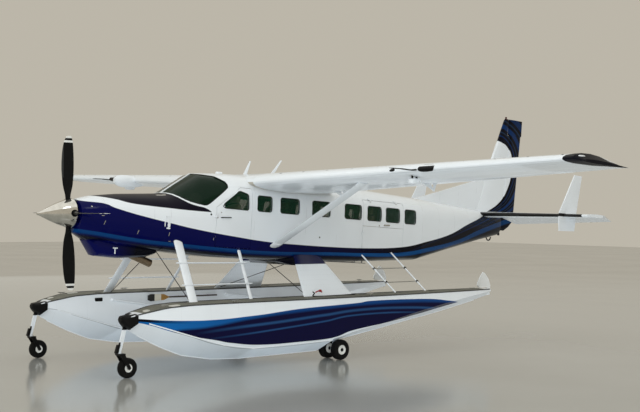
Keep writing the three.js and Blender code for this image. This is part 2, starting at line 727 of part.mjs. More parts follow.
function addNose() {
  const skin = cut(fuselage(700, FIREWALL_S), fuselage(760, FIREWALL_S + 10, -25));
  const shaftHole = solidOf(
    new THREE.CylinderGeometry(150, 150, 400, 24).translate(0, 760, 0),
  );
  const inlets = [1, -1].map((sign) =>
    solidOf(new THREE.CylinderGeometry(60, 60, 400, 12).translate(sign * 200, 760, -90)),
  );
  const scoop = scoopForm();
  const cavity = fuselage(760, FIREWALL_S + 10, -25);
  const cowl = join(cut(skin, shaftHole, ...inlets), cut(scoop, cavity));
  add(airframe, "nose_cowl", cowl, "navy");

  const block = solidOf(new THREE.CylinderGeometry(240, 240, 1260, 16).translate(0, 1560, -40));
  const gearbox = intoAirframe(
    rod([0, 660, PROP.z + 60 * Math.sin(PROP.down)], [0, 1000, PROP.z + 400 * Math.sin(PROP.down)], 110, 16),
  );
  const mount = box(-200, 200, 2100, FIREWALL_S - 20 - GAP, -200, 160);
  add(airframe, "engine", join(block, gearbox, mount), "metal");

  const wall = fuselage(FIREWALL_S - 20, FIREWALL_S, -26);
  add(airframe, "firewall", wall, "metal");

  const stack = rod([-330, 1800, -540], [-370, 2540, -795], 75, 16);
  const outlet = rod([-352, 2205, -680], [-375, 2640, -829], 66, 16);
  add(airframe, "exhaust_stack", mainBody(cut(stack, outlet, GROWN, scoopForm(GAP))), "steel");
}

// Propeller: a spinner and four feathered blades on one hub

function addPropeller() {
  const group = new THREE.Group();
  group.position.set(0, PROP.y, PROP.z);
  group.rotation.x = PROP.down;
  aircraft.add(group);
  const profile = [
    // radius, distance aft of the blades' plane
    [0, -600], [16, -585], [24, -540], [90, -430], [160, -280], [222, -120], [255, 0], [262, 40], [250, 40],
    [0, 40],
  ];
  const spinner = solidOf(
    new THREE.LatheGeometry(profile.map(([r, h]) => new THREE.Vector2(r, h)), 28),
  );
  const hub = rod([0, 30, 0], [0, 59.4, 0], 100, 16);
  const bladeRows = [
    // radius, half chord, half thickness, sweep
    [150, 45, 45, 0], [330, 55, 36, 0], [480, 98, 16, 0], [760, 120, 10, 0], [1050, 112, 8, 8],
    [1250, 86, 6, 22],
    [PROP.radius, 38, 4, 40],
  ];
  const one = loft(
    bladeRows.map(([r, chord, thick, sweep]) =>
      Array.from({ length: 10 }, (_, i) => {
        const a = (i / 10) * 2 * Math.PI;
        return new THREE.Vector3(Math.cos(a) * thick, Math.sin(a) * chord + sweep, r);
      }),
    ),
  );
  const blades = [0, 90, 180, 270].map((a) => one.rotate([0, a, 0]));
  add(group, "propeller", join(spinner, hub, ...blades), "chrome");
}

// Tail

function symmetricRing(level, front, wall, thick, place) {
  const shape = [[0, 0], [0.06, 0.6], [0.25, 0.95], [0.5, 1], [1, 0.75]];
  const upper = shape.map(([c, t]) => [front + c * (wall - front), (t * thick) / 2]);
  const lower = shape.slice(1).reverse().map(([c, t]) => [front + c * (wall - front), (-t * thick) / 2]);
  return [...upper, ...lower].map(([s, t]) => place(s, t, level));
}

const tailForm = fuselage(8700, TAIL_S, GAP);
const tailGrown = join(tailForm, tailForm.translate([0, GAP, 0]));

function rudderAxisAt(w) {
  const { low, high } = RUDDER_AXIS;
  return low[0] + ((w - low[1]) * (high[0] - low[0])) / (high[1] - low[1]);
}

function makeFin() {
  const upright = (s, t, w) => new THREE.Vector3(t, s, w);
  const levels = [[480, 10900], [1540, 11262], [2640, 11742]];
  const nose = (w) => rudderAxisAt(w) - finHalf(w) - SHUT - 2;
  const fin = loft(
    levels.map(([w, front]) => symmetricRing(w, front, nose(w), 2 * finHalf(w) * 1.25, upright)),
  );
  const top = loft(
    [[2600, 11724], [2990, 11885], [3030, 11912]].map(([w, front], i) =>
      symmetricRing(w, front, 11985 + (i ? 40 : 0), [90, 70, 40][i], upright),
    ),
  );
  const dorsalOutline = [[9000, 700], [11500, 600], [11500, 1640], [11262, 1556], [9937, 1168], [9073, 922]];
  const dorsal = slabAlongX(dorsalOutline, -28, 28);
  return cut(join(fin, top, dorsal.intersect(box(-30, 30, 8700, 11300, 0, 1700))), tailGrown);
}

function finHalf(w) {
  return 62 - ((w - 300) / 2400) * 22;
}

function addTail() {
  const skin = 30;
  const hollow = fuselage(BULKHEAD_S + skin, TAIL_S - 250, -skin);
  const cableHole = rod([0, TAIL_S - 300, 560], [0, TAIL_S + 50, 560], 25, 8);
  const cone = cut(fuselage(BULKHEAD_S + GAP, TAIL_S), hollow, cableHole);
  const { low } = RUDDER_AXIS;
  const axis = new THREE.Vector3(0, rudderAxisAt(1300) - rudderAxisAt(300), 1000).normalize();
  const lugTop = new THREE.Vector3(0, ...low);
  const lugLow = lugTop.clone().addScaledVector(axis, -60);
  const lug = join(
    rod(lugLow.toArray(), lugTop.toArray(), 26),
    beam([0, TAIL_S - 30, 262], [0, TAIL_S - 6, 296], 40, 60),
  );
  const wallAt = (w) => rudderAxisAt(w) - finHalf(w) - SHUT - 2;
  const cove = slabAlongX([[wallAt(300), 300], [12600, 300], [12600, 900], [wallAt(900), 900]], -300, 300);
  add(airframe, "tail_cone", join(cut(cone, cove), lug), "navy");
  const fin = makeFin();
  add(airframe, "fin", mainBody(fin), "white");

  const upright = (s, t, w) => new THREE.Vector3(t, s, w);
  const hingeOf = (w) => new THREE.Vector3(0, rudderAxisAt(w), w);
  const rudderRing = (w, trailing) => {
    const radius = finHalf(w);
    const centre = hingeOf(w);
    const nose = Array.from({ length: 7 }, (_, i) => {
      const a = -Math.PI / 2 - (i / 6) * Math.PI;
      return new THREE.Vector3(Math.sin(a) * radius, centre.y + Math.cos(a) * radius, w);
    });
    return [...nose, new THREE.Vector3(5, trailing, w), new THREE.Vector3(-5, trailing, w)];
  };
  const rows = [
    // height, trailing edge
    [360, 12030], [460, 12200], [600, 12340], [850, 12366], [2655, 12494],
  ];
  const panel = loft(rows.map(([w, trailing]) => rudderRing(w, trailing)));
  const horn = loft(
    [[2655, 12494], [3031, 12518.3]].map(([w, trailing], i) =>
      symmetricRing(w, 12032 + 22 * i, trailing, [2 * finHalf(2655), 44][i], upright),
    ),
  );
  const hingeLow = lugTop.clone().addScaledVector(axis, GAP);
  const hingeHigh = lugTop.clone().addScaledVector(axis, 120);
  const pin = rod(hingeLow.toArray(), hingeHigh.toArray(), 18);
  add(airframe, "rudder", join(panel, horn, pin), "navy");

  addStabilizer();
}

function addStabilizer() {
  const { height, half, hingeS } = STAB;
  const across = (s, t, x) => new THREE.Vector3(x, s, height + t);
  const halfThick = (x) => 52 - ((x - 60) / (half - 60)) * 24;
  const frontAt = (x) => 10960 + (x / 2850) * 292;
  const wallAt = (x) => hingeS - halfThick(x) - SHUT - 2;
  const panel = loft(
    [60, 2850, half].map((x, i) =>
      symmetricRing(x, frontAt(x) + (i === 2 ? 40 : 0), wallAt(x), 2.5 * halfThick(x), across),
    ),
  );
  const bracket = box(228, 252, hingeS - 110, hingeS + 22, height - 20, height + 20);
  const finletOutline = [
    [11100, 345], [11620, 364], [11655, 700], [11690, 920], [11807, 1593], [11557, 1600], [11083, 751],
    [11070, 600],
  ];
  const finlet = slabAlongX(finletOutline, 2388, 2412);
  const tip = loft(
    [half - 20, half + 0].map((x) => symmetricRing(x, 11130, hingeS - 40, 60, across)),
  );
  const centreCut = box(-90, 90, 8700, 12000, 0, 1700);
  const made = mainBody(cut(join(panel, bracket, finlet, tip), tailGrown, centreCut));
  addPair(airframe, "stabilizer", made, "white");

  const droop = THREE.MathUtils.degToRad(ELEVATOR_DROOP);
  const trailingAt = (x) => 12190 - (x / half) * 235;
  const ring = (x) => {
    const radius = halfThick(x);
    const nose = Array.from({ length: 7 }, (_, i) => {
      const a = -Math.PI / 2 - (i / 6) * Math.PI;
      return new THREE.Vector3(x, hingeS + Math.cos(a) * radius, height + Math.sin(a) * radius);
    });
    const reach = (trailingAt(x) - hingeS) / Math.cos(droop);
    const end = (t) =>
      new THREE.Vector3(
        x,
        hingeS + reach * Math.cos(droop) + t * Math.sin(droop),
        height - reach * Math.sin(droop) + t * Math.cos(droop),
      );
    return [...nose, end(5), end(-5)];
  };
  const elevator = join(
    loft([262, half].map(ring)),
    rod([252 + GAP, hingeS, height], [290, hingeS, height], 16),
  );
  addPair(airframe, "elevator", elevator, "navy");
}

// Floats

const FLOAT = [
  // y, keel, chine half width, chine, deck half width, deck
  [850, 795, 130, 940, 135, 1020],
  [1050, 682, 205, 928, 210, 1070],
  [1450, 485, 320, 800, 295, 1150],
  [1900, 305, 400, 655, 335, 1178],
  [2500, 200, 448, 480, 347, 1183],
  [3100, 168, 458, 392, 350, 1183],
  [4944, 189, 450, 420, 350, 1183],
  [4946, 290, 440, 436, 350, 1183],
  [5600, 390, 395, 556, 345, 1183],
  [6400, 505, 375, 678, 335, 1184],
  [7200, 632, 362, 832, 320, 1186],
  [8100, 766, 330, 978, 290, 1190],
  [9200, 962, 240, 1120, 215, 1193],
  [9650, 1060, 120, 1150, 110, 1193],
];
const DECK_CROWN = 14;

function floatForm(grow = 0) {
  return loft(
    FLOAT.map(([y, keel, chineHalf, chine, deckHalf, deck], i) => {
      const end = i === 0 ? -grow : i === FLOAT.length - 1 ? grow : 0;
      const side = [
        [0, keel - grow], [chineHalf + grow, chine - grow], [deckHalf + grow, deck + grow],
        [deckHalf * 0.7, deck + DECK_CROWN * 0.7 + grow],
      ];
      const right = side.map(([x, z]) => [x, z]);
      const left = side.slice(1).reverse().map(([x, z]) => [-x, z]);
      return [...right, [0, deck + DECK_CROWN + grow], ...left].map(
        ([x, z]) => new THREE.Vector3(FLOAT_X + x, y + end, z),
      );
    }),
  );
}

const floatGrown = floatForm(GAP);

function addFloats() {
  const { y, radius, width, offset } = MAIN_WHEEL;
  const wells = [-1, 1].map((sign) => {
    const x = FLOAT_X + sign * offset;
    return rod([x - width / 2 - 16, y, radius], [x + width / 2 + 16, y, radius], radius + 24, 20);
  });
  const eye = rod([FLOAT_X - 32, y, radius], [FLOAT_X + 32, y, radius], 56, 16);
  const arm = beam([FLOAT_X, y + 10, radius], [FLOAT_X, y + 90, 520], 64, 90);
  const bore = rod([FLOAT_X - 40, y, radius], [FLOAT_X + 40, y, radius], 26, 16);
  const hull = cut(floatForm(), ...wells);
  const lugs = [-1, 1].map((sign) => {
    const x = FLOAT_X + sign * (WATER_RUDDER.boss + GAP + 6);
    return box(x - 6, x + 6, 9600, WATER_RUDDER.y + 24, WATER_RUDDER.z - 24, WATER_RUDDER.z + 24);
  });
  addPair(aircraft, "float", cut(join(hull, eye, arm, ...lugs), bore), "white");
}

function tyre(radius, width, bore, hubWidth) {
  const hub = radius * 0.3;
  const half = [
    [bore, hubWidth / 2], [hub, hubWidth / 2], [radius * 0.5, width * 0.43], [radius * 0.8, width / 2],
    [radius * 0.96, width * 0.38], [radius, width * 0.2],
  ];
  const other = half.map(([r, x]) => [r, -x]).reverse();
  return [...half, ...other, half[0]];
}

function addMainWheels() {
  const { y, radius, width, offset } = MAIN_WHEEL;
  const wheels = [-1, 1].map((sign) =>
    turned(tyre(radius, width, 20, width * 0.9), 24, FLOAT_X + sign * offset, y, radius),
  );
  const reach = offset + width / 2;
  const axle = rod([FLOAT_X - reach, y, radius], [FLOAT_X + reach, y, radius], 25, 16);
  addPair(aircraft, "main_wheels", join(...wheels, axle), "rubber");
}

function addNoseGear() {
  const { y, radius, width, swivelY } = NOSE_WHEEL;
  const castingRows = [
    // y, half width, bottom, top
    [712, 60, 935, 1000], [740, 90, 900, 1025], [849.7, 150, 800, 1035], [960, 185, 880, 1060],
  ];
  const casting = loft(
    castingRows.map(([py, half, bottom, top]) =>
      [[-half, bottom + 30], [-half * 0.6, bottom], [half * 0.6, bottom], [half, bottom + 30],
        [half, top - 30],
        [half * 0.7, top], [-half * 0.7, top], [-half, top - 30]].map(
        ([x, z]) => new THREE.Vector3(FLOAT_X + x, py, z),
      ),
    ),
  );
  const leg = beam([FLOAT_X, swivelY - 12, 430], [FLOAT_X, 812, 850], 36, 66);
  const damper = beam([FLOAT_X, swivelY - 60, 425], [FLOAT_X, swivelY - 20, 560], 60, 46);
  const foot = rod([FLOAT_X, swivelY, 415 + GAP], [FLOAT_X, swivelY, 470], 34, 16);
  const made = join(cut(casting, floatGrown), leg, damper, foot);
  addPair(aircraft, "bow_leg", mainBody(made), "white");

  const arm = width / 2 + 8;
  const crown = box(FLOAT_X - arm - 12, FLOAT_X + arm + 12, swivelY - 34, swivelY + 70, 385, 415);
  const arms = [-1, 1].map((sign) => {
    const outline = [
      [swivelY - 20, 385], [swivelY + 70, 385], [y + 30, radius], [y, radius - 28], [y - 34, radius],
    ];
    const inner = FLOAT_X + sign * arm;
    const outer = FLOAT_X + sign * (arm + 12);
    return slabAlongX(outline, Math.min(inner, outer), Math.max(inner, outer));
  });
  const axle = rod([FLOAT_X - arm - 10, y, radius], [FLOAT_X + arm + 10, y, radius], 12, 16);
  addPair(aircraft, "nose_fork", join(crown, ...arms, axle), "black");
  const wheel = turned(tyre(radius, width, 12.8, width + 2 * (8 - GAP)), 24, FLOAT_X, y, radius);
  addPair(aircraft, "nose_wheel", wheel, "rubber");
}

// Float struts, ladders and the water rudders

function addFloatStruts() {
  const hull = overGround(GROWN);
  const seat = (solid) => mainBody(cut(solid, hull, floatGrown, overGround(fairingForm(GAP))));

  const broad = beam([1560, 2225, 1120], [600, 2460, 2300], 60, 175);
  const rail = beam([1470, 3530, 1120], [640, 3745, 2260], 34, 70);
  const tread = (low, t) => {
    const at = (a, b) => a.map((value, i) => value + (b[i] - value) * t);
    const p = at([1560, 2225, 1120], [600, 2460, 2300]);
    const q = at([1470, 3530, 1120], [640, 3745, 2260]);
    return beamAlong([p[0] + low, p[1], p[2]], [q[0] + low, q[1] + 20, q[2]], 70, 30);
  };
  const front = join(broad, rail, tread(0, 0.3), tread(0, 0.62));
  addPair(aircraft, "front_strut", seat(front), "white");

  const rearRing = (x, y0, y1, z) =>
    [[-32, y0], [32, y0], [32, y1], [-32, y1]].map(([dx, y]) => new THREE.Vector3(x + dx, y, z));
  const rear = loft([rearRing(1545, 4700, 5960, 1120), rearRing(640, 5075, 5610, 2080)]);
  addPair(aircraft, "rear_strut", seat(rear), "white");

  const legs = [
    // foot y, head y
    [7042, 6772], [7895, 7640],
  ].map(([foot, head]) => rod([1640, foot, 1130], [700, head, 2010], 17, 10));
  const rung = (t) => {
    const [x, z] = [1640 - 940 * t, 1130 + 880 * t];
    return rod([x, 7042 - 270 * t, z], [x, 7895 - 255 * t, z], 13, 8);
  };
  add(aircraft, "rear_ladder", seat(join(...legs, rung(0.3), rung(0.6))), "white");
}

// A box beam that runs level from one point to another.
function beamAlong(from, to, depthX, depthZ) {
  const ring = ([x, y, z]) =>
    [[-1, -1], [1, -1], [1, 1], [-1, 1]].map(
      ([i, j]) => new THREE.Vector3(x + (i * depthX) / 2, y, z + (j * depthZ) / 2),
    );
  return loft([ring(from), ring(to)]);
}

function addWaterRudders() {
  const { y, z, boss } = WATER_RUDDER;
  const outline = [
    [y - 22, z], [y, z - 22], [y + 22, z], [9740, 1180], [9752, 1264], [9700, 1400], [9580, 1530],
    [9523, 1554],
    [9440, 1460], [9362, 1330], [9350, 1276], [9400, 1228], [9664, 1222],
  ];
  const plate = slabAlongX(outline, FLOAT_X - 12, FLOAT_X + 12);
  const pivot = rod([FLOAT_X - boss, y, z], [FLOAT_X + boss, y, z], 22, 12);
  addPair(aircraft, "water_rudder", join(plate, pivot), "white");
}

const PADDLE = { x: FLOAT_X - 398, tip: 2990, neck: 3450, end: 4625, z: 1068 };

// The paddle is clipped to the starboard float's inner side.
function addPaddle() {
  const { x, tip, neck, end, z } = PADDLE;
  const shaft = rod([x, neck - 10, z], [x, end, z], 15, 10);
  const clips = [neck + 250, end - 225].map((y) => box(x - 8, FLOAT_X - 300, y, y + 30, z - 15, z + 15));
  const outline = [
    [tip, z - 45], [tip + 60, z - 70], [tip + 360, z - 55], [neck, z - 15], [neck, z + 15],
    [tip + 360, z + 60],
    [tip + 60, z + 70], [tip, z + 45],
  ];
  const web = slabAlongX(outline, x - 12, x + 12);
  const held = join(shaft, web, ...clips.map((clip) => cut(clip, floatGrown)));
  add(aircraft, "paddle", mirrorX(held), "wood");
}

const FAIRING = [
  // s, half width, top, bottom
  [4900, 560, -560, -625], [5100, 760, -500, -690], [5700, 760, -500, -690], [6000, 560, -560, -615],
];

function fairingForm(grow = 0) {
  const ring = ([s, half, top, bottom]) => {
    const [h, t, b] = [half + grow, top + grow, bottom - grow];
    const outline = [[-h, t], [h, t], [h, (t + b) / 2], [h - 90, b], [90 - h, b], [-h, (t + b) / 2]];
    return outline.map(([x, w]) => new THREE.Vector3(x, s, w));
  };
  return loft(FAIRING.map(ring));
}

function addBellyFairing() {
  add(airframe, "belly_fairing", mainBody(cut(fairingForm(), GROWN)), "navy");
}

addNose();
addPropeller();
addCabin();
addGlazing();
addDoors();
addInterior();
addWings();
addWingStruts();
addRadarPod();
addTail();
addBellyFairing();
addFloats();
addMainWheels();
addNoseGear();
addFloatStruts();
addWaterRudders();
addPaddle();

export default aircraft;
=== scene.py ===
import json
import math

import bpy
from mathutils import Matrix, Vector

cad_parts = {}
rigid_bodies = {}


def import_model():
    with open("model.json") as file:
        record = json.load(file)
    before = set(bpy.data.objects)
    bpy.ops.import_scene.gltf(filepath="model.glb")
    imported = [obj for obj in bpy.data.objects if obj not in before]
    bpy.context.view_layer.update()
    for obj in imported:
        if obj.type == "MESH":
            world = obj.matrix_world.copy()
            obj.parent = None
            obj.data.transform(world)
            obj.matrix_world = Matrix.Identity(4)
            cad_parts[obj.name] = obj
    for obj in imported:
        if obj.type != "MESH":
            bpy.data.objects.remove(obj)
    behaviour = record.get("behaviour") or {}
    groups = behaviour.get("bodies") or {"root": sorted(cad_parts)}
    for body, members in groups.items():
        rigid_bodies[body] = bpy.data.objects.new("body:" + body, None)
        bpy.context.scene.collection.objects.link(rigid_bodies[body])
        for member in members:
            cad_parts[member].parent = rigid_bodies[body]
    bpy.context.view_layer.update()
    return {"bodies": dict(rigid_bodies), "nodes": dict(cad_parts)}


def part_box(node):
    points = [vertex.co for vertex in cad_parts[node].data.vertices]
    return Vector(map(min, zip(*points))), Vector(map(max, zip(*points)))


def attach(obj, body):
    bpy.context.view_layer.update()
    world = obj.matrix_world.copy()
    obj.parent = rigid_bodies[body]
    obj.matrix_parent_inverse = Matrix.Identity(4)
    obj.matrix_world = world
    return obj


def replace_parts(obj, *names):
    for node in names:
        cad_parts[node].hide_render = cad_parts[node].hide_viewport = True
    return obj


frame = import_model()
nodes = frame["nodes"]

# Fuselage skin
# The fuselage is riveted sheet metal over frames, painted white with a dark belly that sweeps up over
# the tail, a bright line along the flank and a matt dark panel on top of the nose against glare.


def srgb(red, green, blue):
    def linear(value):
        value /= 255
        return value / 12.92 if value <= 0.04045 else ((value + 0.055) / 1.055) ** 2.4

    return (linear(red), linear(green), linear(blue), 1.0)


class Field:
    """The output of a node; Python's operators on it add maths nodes."""

    def __init__(self, paint, socket):
        self.paint, self.socket = paint, socket

    def maths(self, operation, first, second=0.0):
        return self.paint.node("ShaderNodeMath", {"operation": operation}, {0: first, 1: second})

    def __add__(self, other):
        return self.maths("ADD", self, other)

    def __sub__(self, other):
        return self.maths("SUBTRACT", self, other)

    def __rsub__(self, other):
        return self.maths("SUBTRACT", other, self)

    def __mul__(self, other):
        return self.maths("MULTIPLY", self, other)

    def __truediv__(self, other):
        return self.maths("DIVIDE", self, other)

    def __pow__(self, other):
        return self.maths("POWER", self, other)

    def __abs__(self):
        return self.maths("ABSOLUTE", self)

    __radd__ = __add__
    __rmul__ = __mul__

    def most(self, other):
        return self.maths("MAXIMUM", self, other)

    def repeat(self, length):
        return self.maths("PINGPONG", self, length)

    def rise(self, low, high):
        """0 below low, 1 above high."""
        return self.paint.node("ShaderNodeMapRange", {}, {0: self, 1: low, 2: high})

    def fall(self, low, high):
        return 1 - self.rise(low, high)

    def above(self, level, soft=0.004):
        return (self - level).rise(-soft, soft)

    def below(self, level, soft=0.004):
        return 1 - self.above(level, soft)

    def inside(self, low, high, soft=0.004):
        return self.above(low, soft) * self.below(high, soft)

    def far(self, other):
        """The distance that two lengths at a right angle make."""
        return (self**2 + other**2) ** 0.5


class Paint:
    """A material made of nodes."""

    def __init__(self, name, slot="white paint"):
        self.slot = slot
        self.material = bpy.data.materials.new(name)
        self.material.use_nodes = True
        self.tree = self.material.node_tree
        self.shader = self.tree.nodes["Principled BSDF"]

    def feed(self, socket, value):
        if isinstance(value, Field):
            self.tree.links.new(value.socket, socket)
        else:
            socket.default_value = value

    def node(self, kind, settings=None, values=None, output=0):
        made = self.tree.nodes.new(kind)
        for name, value in (settings or {}).items():
            if name == "points":
                curve = made.mapping.curves[0]
                while len(curve.points) < len(value):
                    curve.points.new(0.5, 0.5)
                for point, place in zip(curve.points, value):
                    point.location = place
                made.mapping.update()
            else:
                setattr(made, name, value)
        for name, value in (values or {}).items():
            self.feed(made.inputs[name], value)
        return Field(self, made.outputs[output])

    def coordinates(self, kind="Object"):
        return self.node("ShaderNodeTexCoord", output=kind)

    def parts(self, kind="Object"):
        """x, y and z: of Object coordinates, in metres in the aircraft's frame, or of the Normal."""
        whole = self.coordinates(kind)
        return [self.node("ShaderNodeSeparateXYZ", {}, {0: whole}, i) for i in range(3)]

    def stretched(self, *scales):
        values = {0: self.coordinates(), 1: scales}
        return self.node("ShaderNodeVectorMath", {"operation": "MULTIPLY"}, values)

    def mix(self, factor, low, high):
        return self.node("ShaderNodeMix", {"data_type": "RGBA"}, {0: factor, 6: low, 7: high}, 2)

    def noise(self, scale, detail=3.0, where=None):
        values = {"Vector": where or self.coordinates(), "Scale": scale, "Detail": detail}
        return self.node("ShaderNodeTexNoise", {}, values)

    def dusted(self, colour, dust, amount, tint):
        return self.mix(dust.rise(0.45, 0.9) * amount, colour, tint)

    def line(self, along, points):
        """The height of a smooth line through points, at a place along it."""
        starts, heights = zip(*points)
        span = starts[-1] - starts[0]
        low, high = min(heights), max(heights)
        unit = [((a - starts[0]) / span, (h - low) / (high - low)) for a, h in points]
        share = (along - starts[0]) / span
        curve = self.node("ShaderNodeFloatCurve", {"points": unit}, {0: 1.0, 1: share})
        return curve * (high - low) + low

    def surface(self, **values):
        """Sets the shader's own sockets, given by name with _ for a space."""
        for name, value in values.items():
            self.feed(self.shader.inputs[name.replace("_", " ")], value)
        return self

    def bump(self, height, distance, strength=0.4):
        values = {"Height": height, "Distance": distance, "Strength": strength}
        return self.surface(Normal=self.node("ShaderNodeBump", {}, values))


WHITE = srgb(233, 238, 243)
NAVY = srgb(3, 7, 68)
NIGHT = srgb(4, 4, 16)
MID_BLUE = srgb(10, 48, 98)
STEEL_BLUE = srgb(34, 58, 88)
LINE_BLUE = srgb(14, 74, 132)
BELLY = srgb(5, 6, 18)

PITCH = math.radians(3.2)  # the fuselage sits nose-up on its gear
NOSE_Y, NOSE_Z = -6.334, 2.722  # the spinner's tip, from which stations are counted
COS, SIN = math.cos(PITCH), math.sin(PITCH)


def at_station(x, s, w):
    """A point given by its station and height in the fuselage's own axes."""
    return Vector((x, NOSE_Y + s * COS + w * SIN, NOSE_Z - s * SIN + w * COS))


FLANK_LINE = [
    # station, height of the white paint's lower edge
    (0.6, 0.3), (0.76, 0.25), (1.045, 0.235), (1.245, 0.169), (1.511, 0.101), (1.844, 0.036),
    (2.278, -0.037), (2.841, -0.125), (3.617, -0.209), (4.511, -0.275), (5.18, -0.288), (5.9, -0.292),
    (6.843, -0.276), (7.878, -0.214), (8.763, -0.053), (9.536, 0.122), (10.356, 0.42), (10.924, 0.612),
    (11.5, 0.83),
]
BAND_LINE = [
    # station, height of the bright band's upper edge
    (0.6, -0.235), (1.015, -0.276), (1.436, -0.325), (1.83, -0.362), (2.318, -0.388), (3.3, -0.43),
    (4.106, -0.45), (5.19, -0.432), (5.906, -0.4), (6.771, -0.379), (7.888, -0.325), (8.775, -0.189),
    (9.824, 0.011), (10.961, 0.355), (12.2, 0.66),
]
NOSE_LINE = [
    # station, height of the dark nose panel's lower edge
    (0.9, 0.372), (1.303, 0.321), (1.604, 0.262), (1.924, 0.241), (2.279, 0.228), (2.6, 0.216), (3.1, 0.21),
]
SHIELD_LINE = [
    # station, height of the white frame's edge below the windshield
    (0.9, 0.9), (2.3, 0.7), (2.434, 0.512), (2.56, 0.408), (2.7, 0.338), (2.83, 0.306), (2.96, 0.284),
    (3.1, 0.215),
]
FIN_LINE = [
    # height, station of the white paint's rear edge
    (0.6, 10.9), (0.796, 11.4), (1.109, 11.884), (1.342, 12.051), (1.598, 12.17), (1.9, 12.2),
    (2.139, 12.179), (2.365, 11.978), (2.443, 11.789), (2.52, 11.45),
]
TAIL_SWEEPS = [
    # depth below the white paint's edge where it starts and ends, colour, station where it begins
    (0.1, 0.15, MID_BLUE, 7.0), (0.2, 0.245, STEEL_BLUE, 8.2), (0.31, 0.45, MID_BLUE, 9.3),
    (0.5, 0.56, STEEL_BLUE, 10.5), (0.62, 0.8, MID_BLUE, 10.5),
]


def fuselage_axes(paint):
    """The distance to port, and the station and height in the fuselage's own axes."""
    x, y, z = paint.parts()
    s = (y - NOSE_Y) * COS - (z - NOSE_Z) * SIN
    w = (y - NOSE_Y) * SIN + (z - NOSE_Z) * COS
    return x, s, w


SEAMS = [1.1, 1.98, 2.3, 4.05, 5.3, 6.1, 8.6, 9.2, 9.8, 10.4, 11.0]
RIVET_ROWS = [0.25, 0.66, -0.46]


def sheet_bump(s, w):
    """Lapped seams at stations and rivet rows along heights, as a height field."""
    height = 0
    for chine_rail_shadow in SEAMS:
        height = height + abs(s - chine_rail_shadow).fall(0.0, 0.006)
    for row in RIVET_ROWS:
        height = height - (s.repeat(0.02) - 0.01).far(w - row).fall(0.002, 0.005) * 0.5
    return height * -1


FIN_START, FIN_FOOT, FIN_TOP = 10.6, 0.6, 2.5  # where the fin's own paint edge begins and ends
CROWN_S, CROWN_W = 11.5, 1.9  # the middle of the round sweeps at the fin's top
LINING_START, LINING_END = 2.33, 8.55
LINING_MIDDLE = 0.1  # the height in the cabin's middle, which its lining faces
CARPET_TOP = -0.3


def livery(name):
    """The fuselage's paint scheme, and the lining and carpet on its inner faces."""
    paint = Paint(name)
    x, s, w = fuselage_axes(paint)
    flank, rear = paint.line(s, FLANK_LINE), paint.line(w, FIN_LINE)
    tail = s.above(rear) * s.rise(FIN_START, FIN_START + 0.01) * w.above(FIN_FOOT)
    dark = w.below(flank).most(tail).most(w.above(FIN_TOP) * s.above(11.0))

    band = paint.line(s, BAND_LINE)
    width = s.rise(6.5, 11.0) * 0.05 + 0.05
    in_band = band.above(w) * (band - width - w).fall(-0.004, 0.03)
    glow = (s.rise(5.0, 7.0) * 0.35 + 0.65) * (1 - s.rise(8.0, 10.0) * 0.45)
    colour = paint.mix(in_band * glow, paint.mix(s.rise(4.0, 8.0), NAVY, NIGHT), LINE_BLUE)
    under = (band - width - 0.02 - w).rise(-0.01, 0.04)
    colour = paint.mix(under * s.fall(7.5, 9.0), colour, BELLY)

    crown = ((s - CROWN_S) / 0.7).far((w - CROWN_W) / 0.62) * 0.65 - 0.65
    high = w.above(CROWN_W)
    drop = (flank - w).most(s - rear) * (1 - high) + crown * high
    for start, end, tint, from_s in TAIL_SWEEPS:
        sweep = drop.rise(start, start + 0.02) * drop.fall(end - 0.03, end) * s.rise(from_s, from_s + 2.5)
        colour = paint.mix(sweep * 0.85, colour, tint)
    streak = paint.noise(3.0, 4.0, paint.stretched(0.0, 0.35, 3.0))
    colour = paint.mix(streak.rise(0.45, 0.8) * s.rise(7.5, 10.5) * 0.12, colour, STEEL_BLUE)
    scoop = w.below(-0.42, 0.02) * s.fall(1.4, 1.85)
    colour = paint.mix(scoop, colour, NAVY)

    glare = w.above(paint.line(s, NOSE_LINE)) * w.below(paint.line(s, SHIELD_LINE)) * s.inside(0.95, 3.1)
    body = paint.mix(glare, paint.mix(dark, WHITE, colour), srgb(12, 8, 24))
    dust = paint.noise(1.3, 5.0)
    pale = 1 - dark.most(glare)
    body = paint.dusted(body, dust, pale * 0.06, srgb(120, 118, 112))
    height = sheet_bump(s, w)
    seam_dirt = height * -1 * paint.noise(7.0).rise(0.35, 0.6)
    body = paint.mix(seam_dirt.rise(0.2, 1.0) * 0.35 * pale, body, srgb(96, 96, 98))

    facing = paint.parts("Normal")
    outwards = facing[0] * x + facing[2] * (w - LINING_MIDDLE)
    lining = outwards.fall(-0.07, -0.05) * s.above(LINING_START) * s.below(LINING_END)
    carpet = w.below(CARPET_TOP, 0.02) * lining
    weave = paint.noise(180.0, 2.0)
    threads = weave.rise(0.3, 0.7)
    body = paint.mix(lining, body, paint.mix(threads, srgb(176, 171, 160), srgb(196, 192, 182)))
    body = paint.mix(carpet, body, paint.mix(threads, srgb(44, 50, 62), srgb(66, 72, 84)))
    paint.surface(
        Base_Color=body,
        Roughness=lining * 0.55 + glare * 0.22 + dust.rise(0.3, 0.9) * 0.05 + 0.12,
        Coat_Weight=(1 - lining) * (pale * 0.2 + 0.04), Coat_Roughness=0.04, Specular_IOR_Level=0.1,
    )
    return paint.bump(height + paint.noise(240.0, 1.0) * 0.02 + weave * lining * 0.3, 0.002)


SMOOTH_BELOW = math.radians(32)
HANDS = ((1, "port"), (-1, "starboard"))


def dress(paint, *names):
    for name in names:
        nodes[name].data.materials.clear()
        nodes[name].data.materials.append(paint.material)


def both(*names):
    return [f"{name}_{hand}" for name in names for _, hand in HANDS]


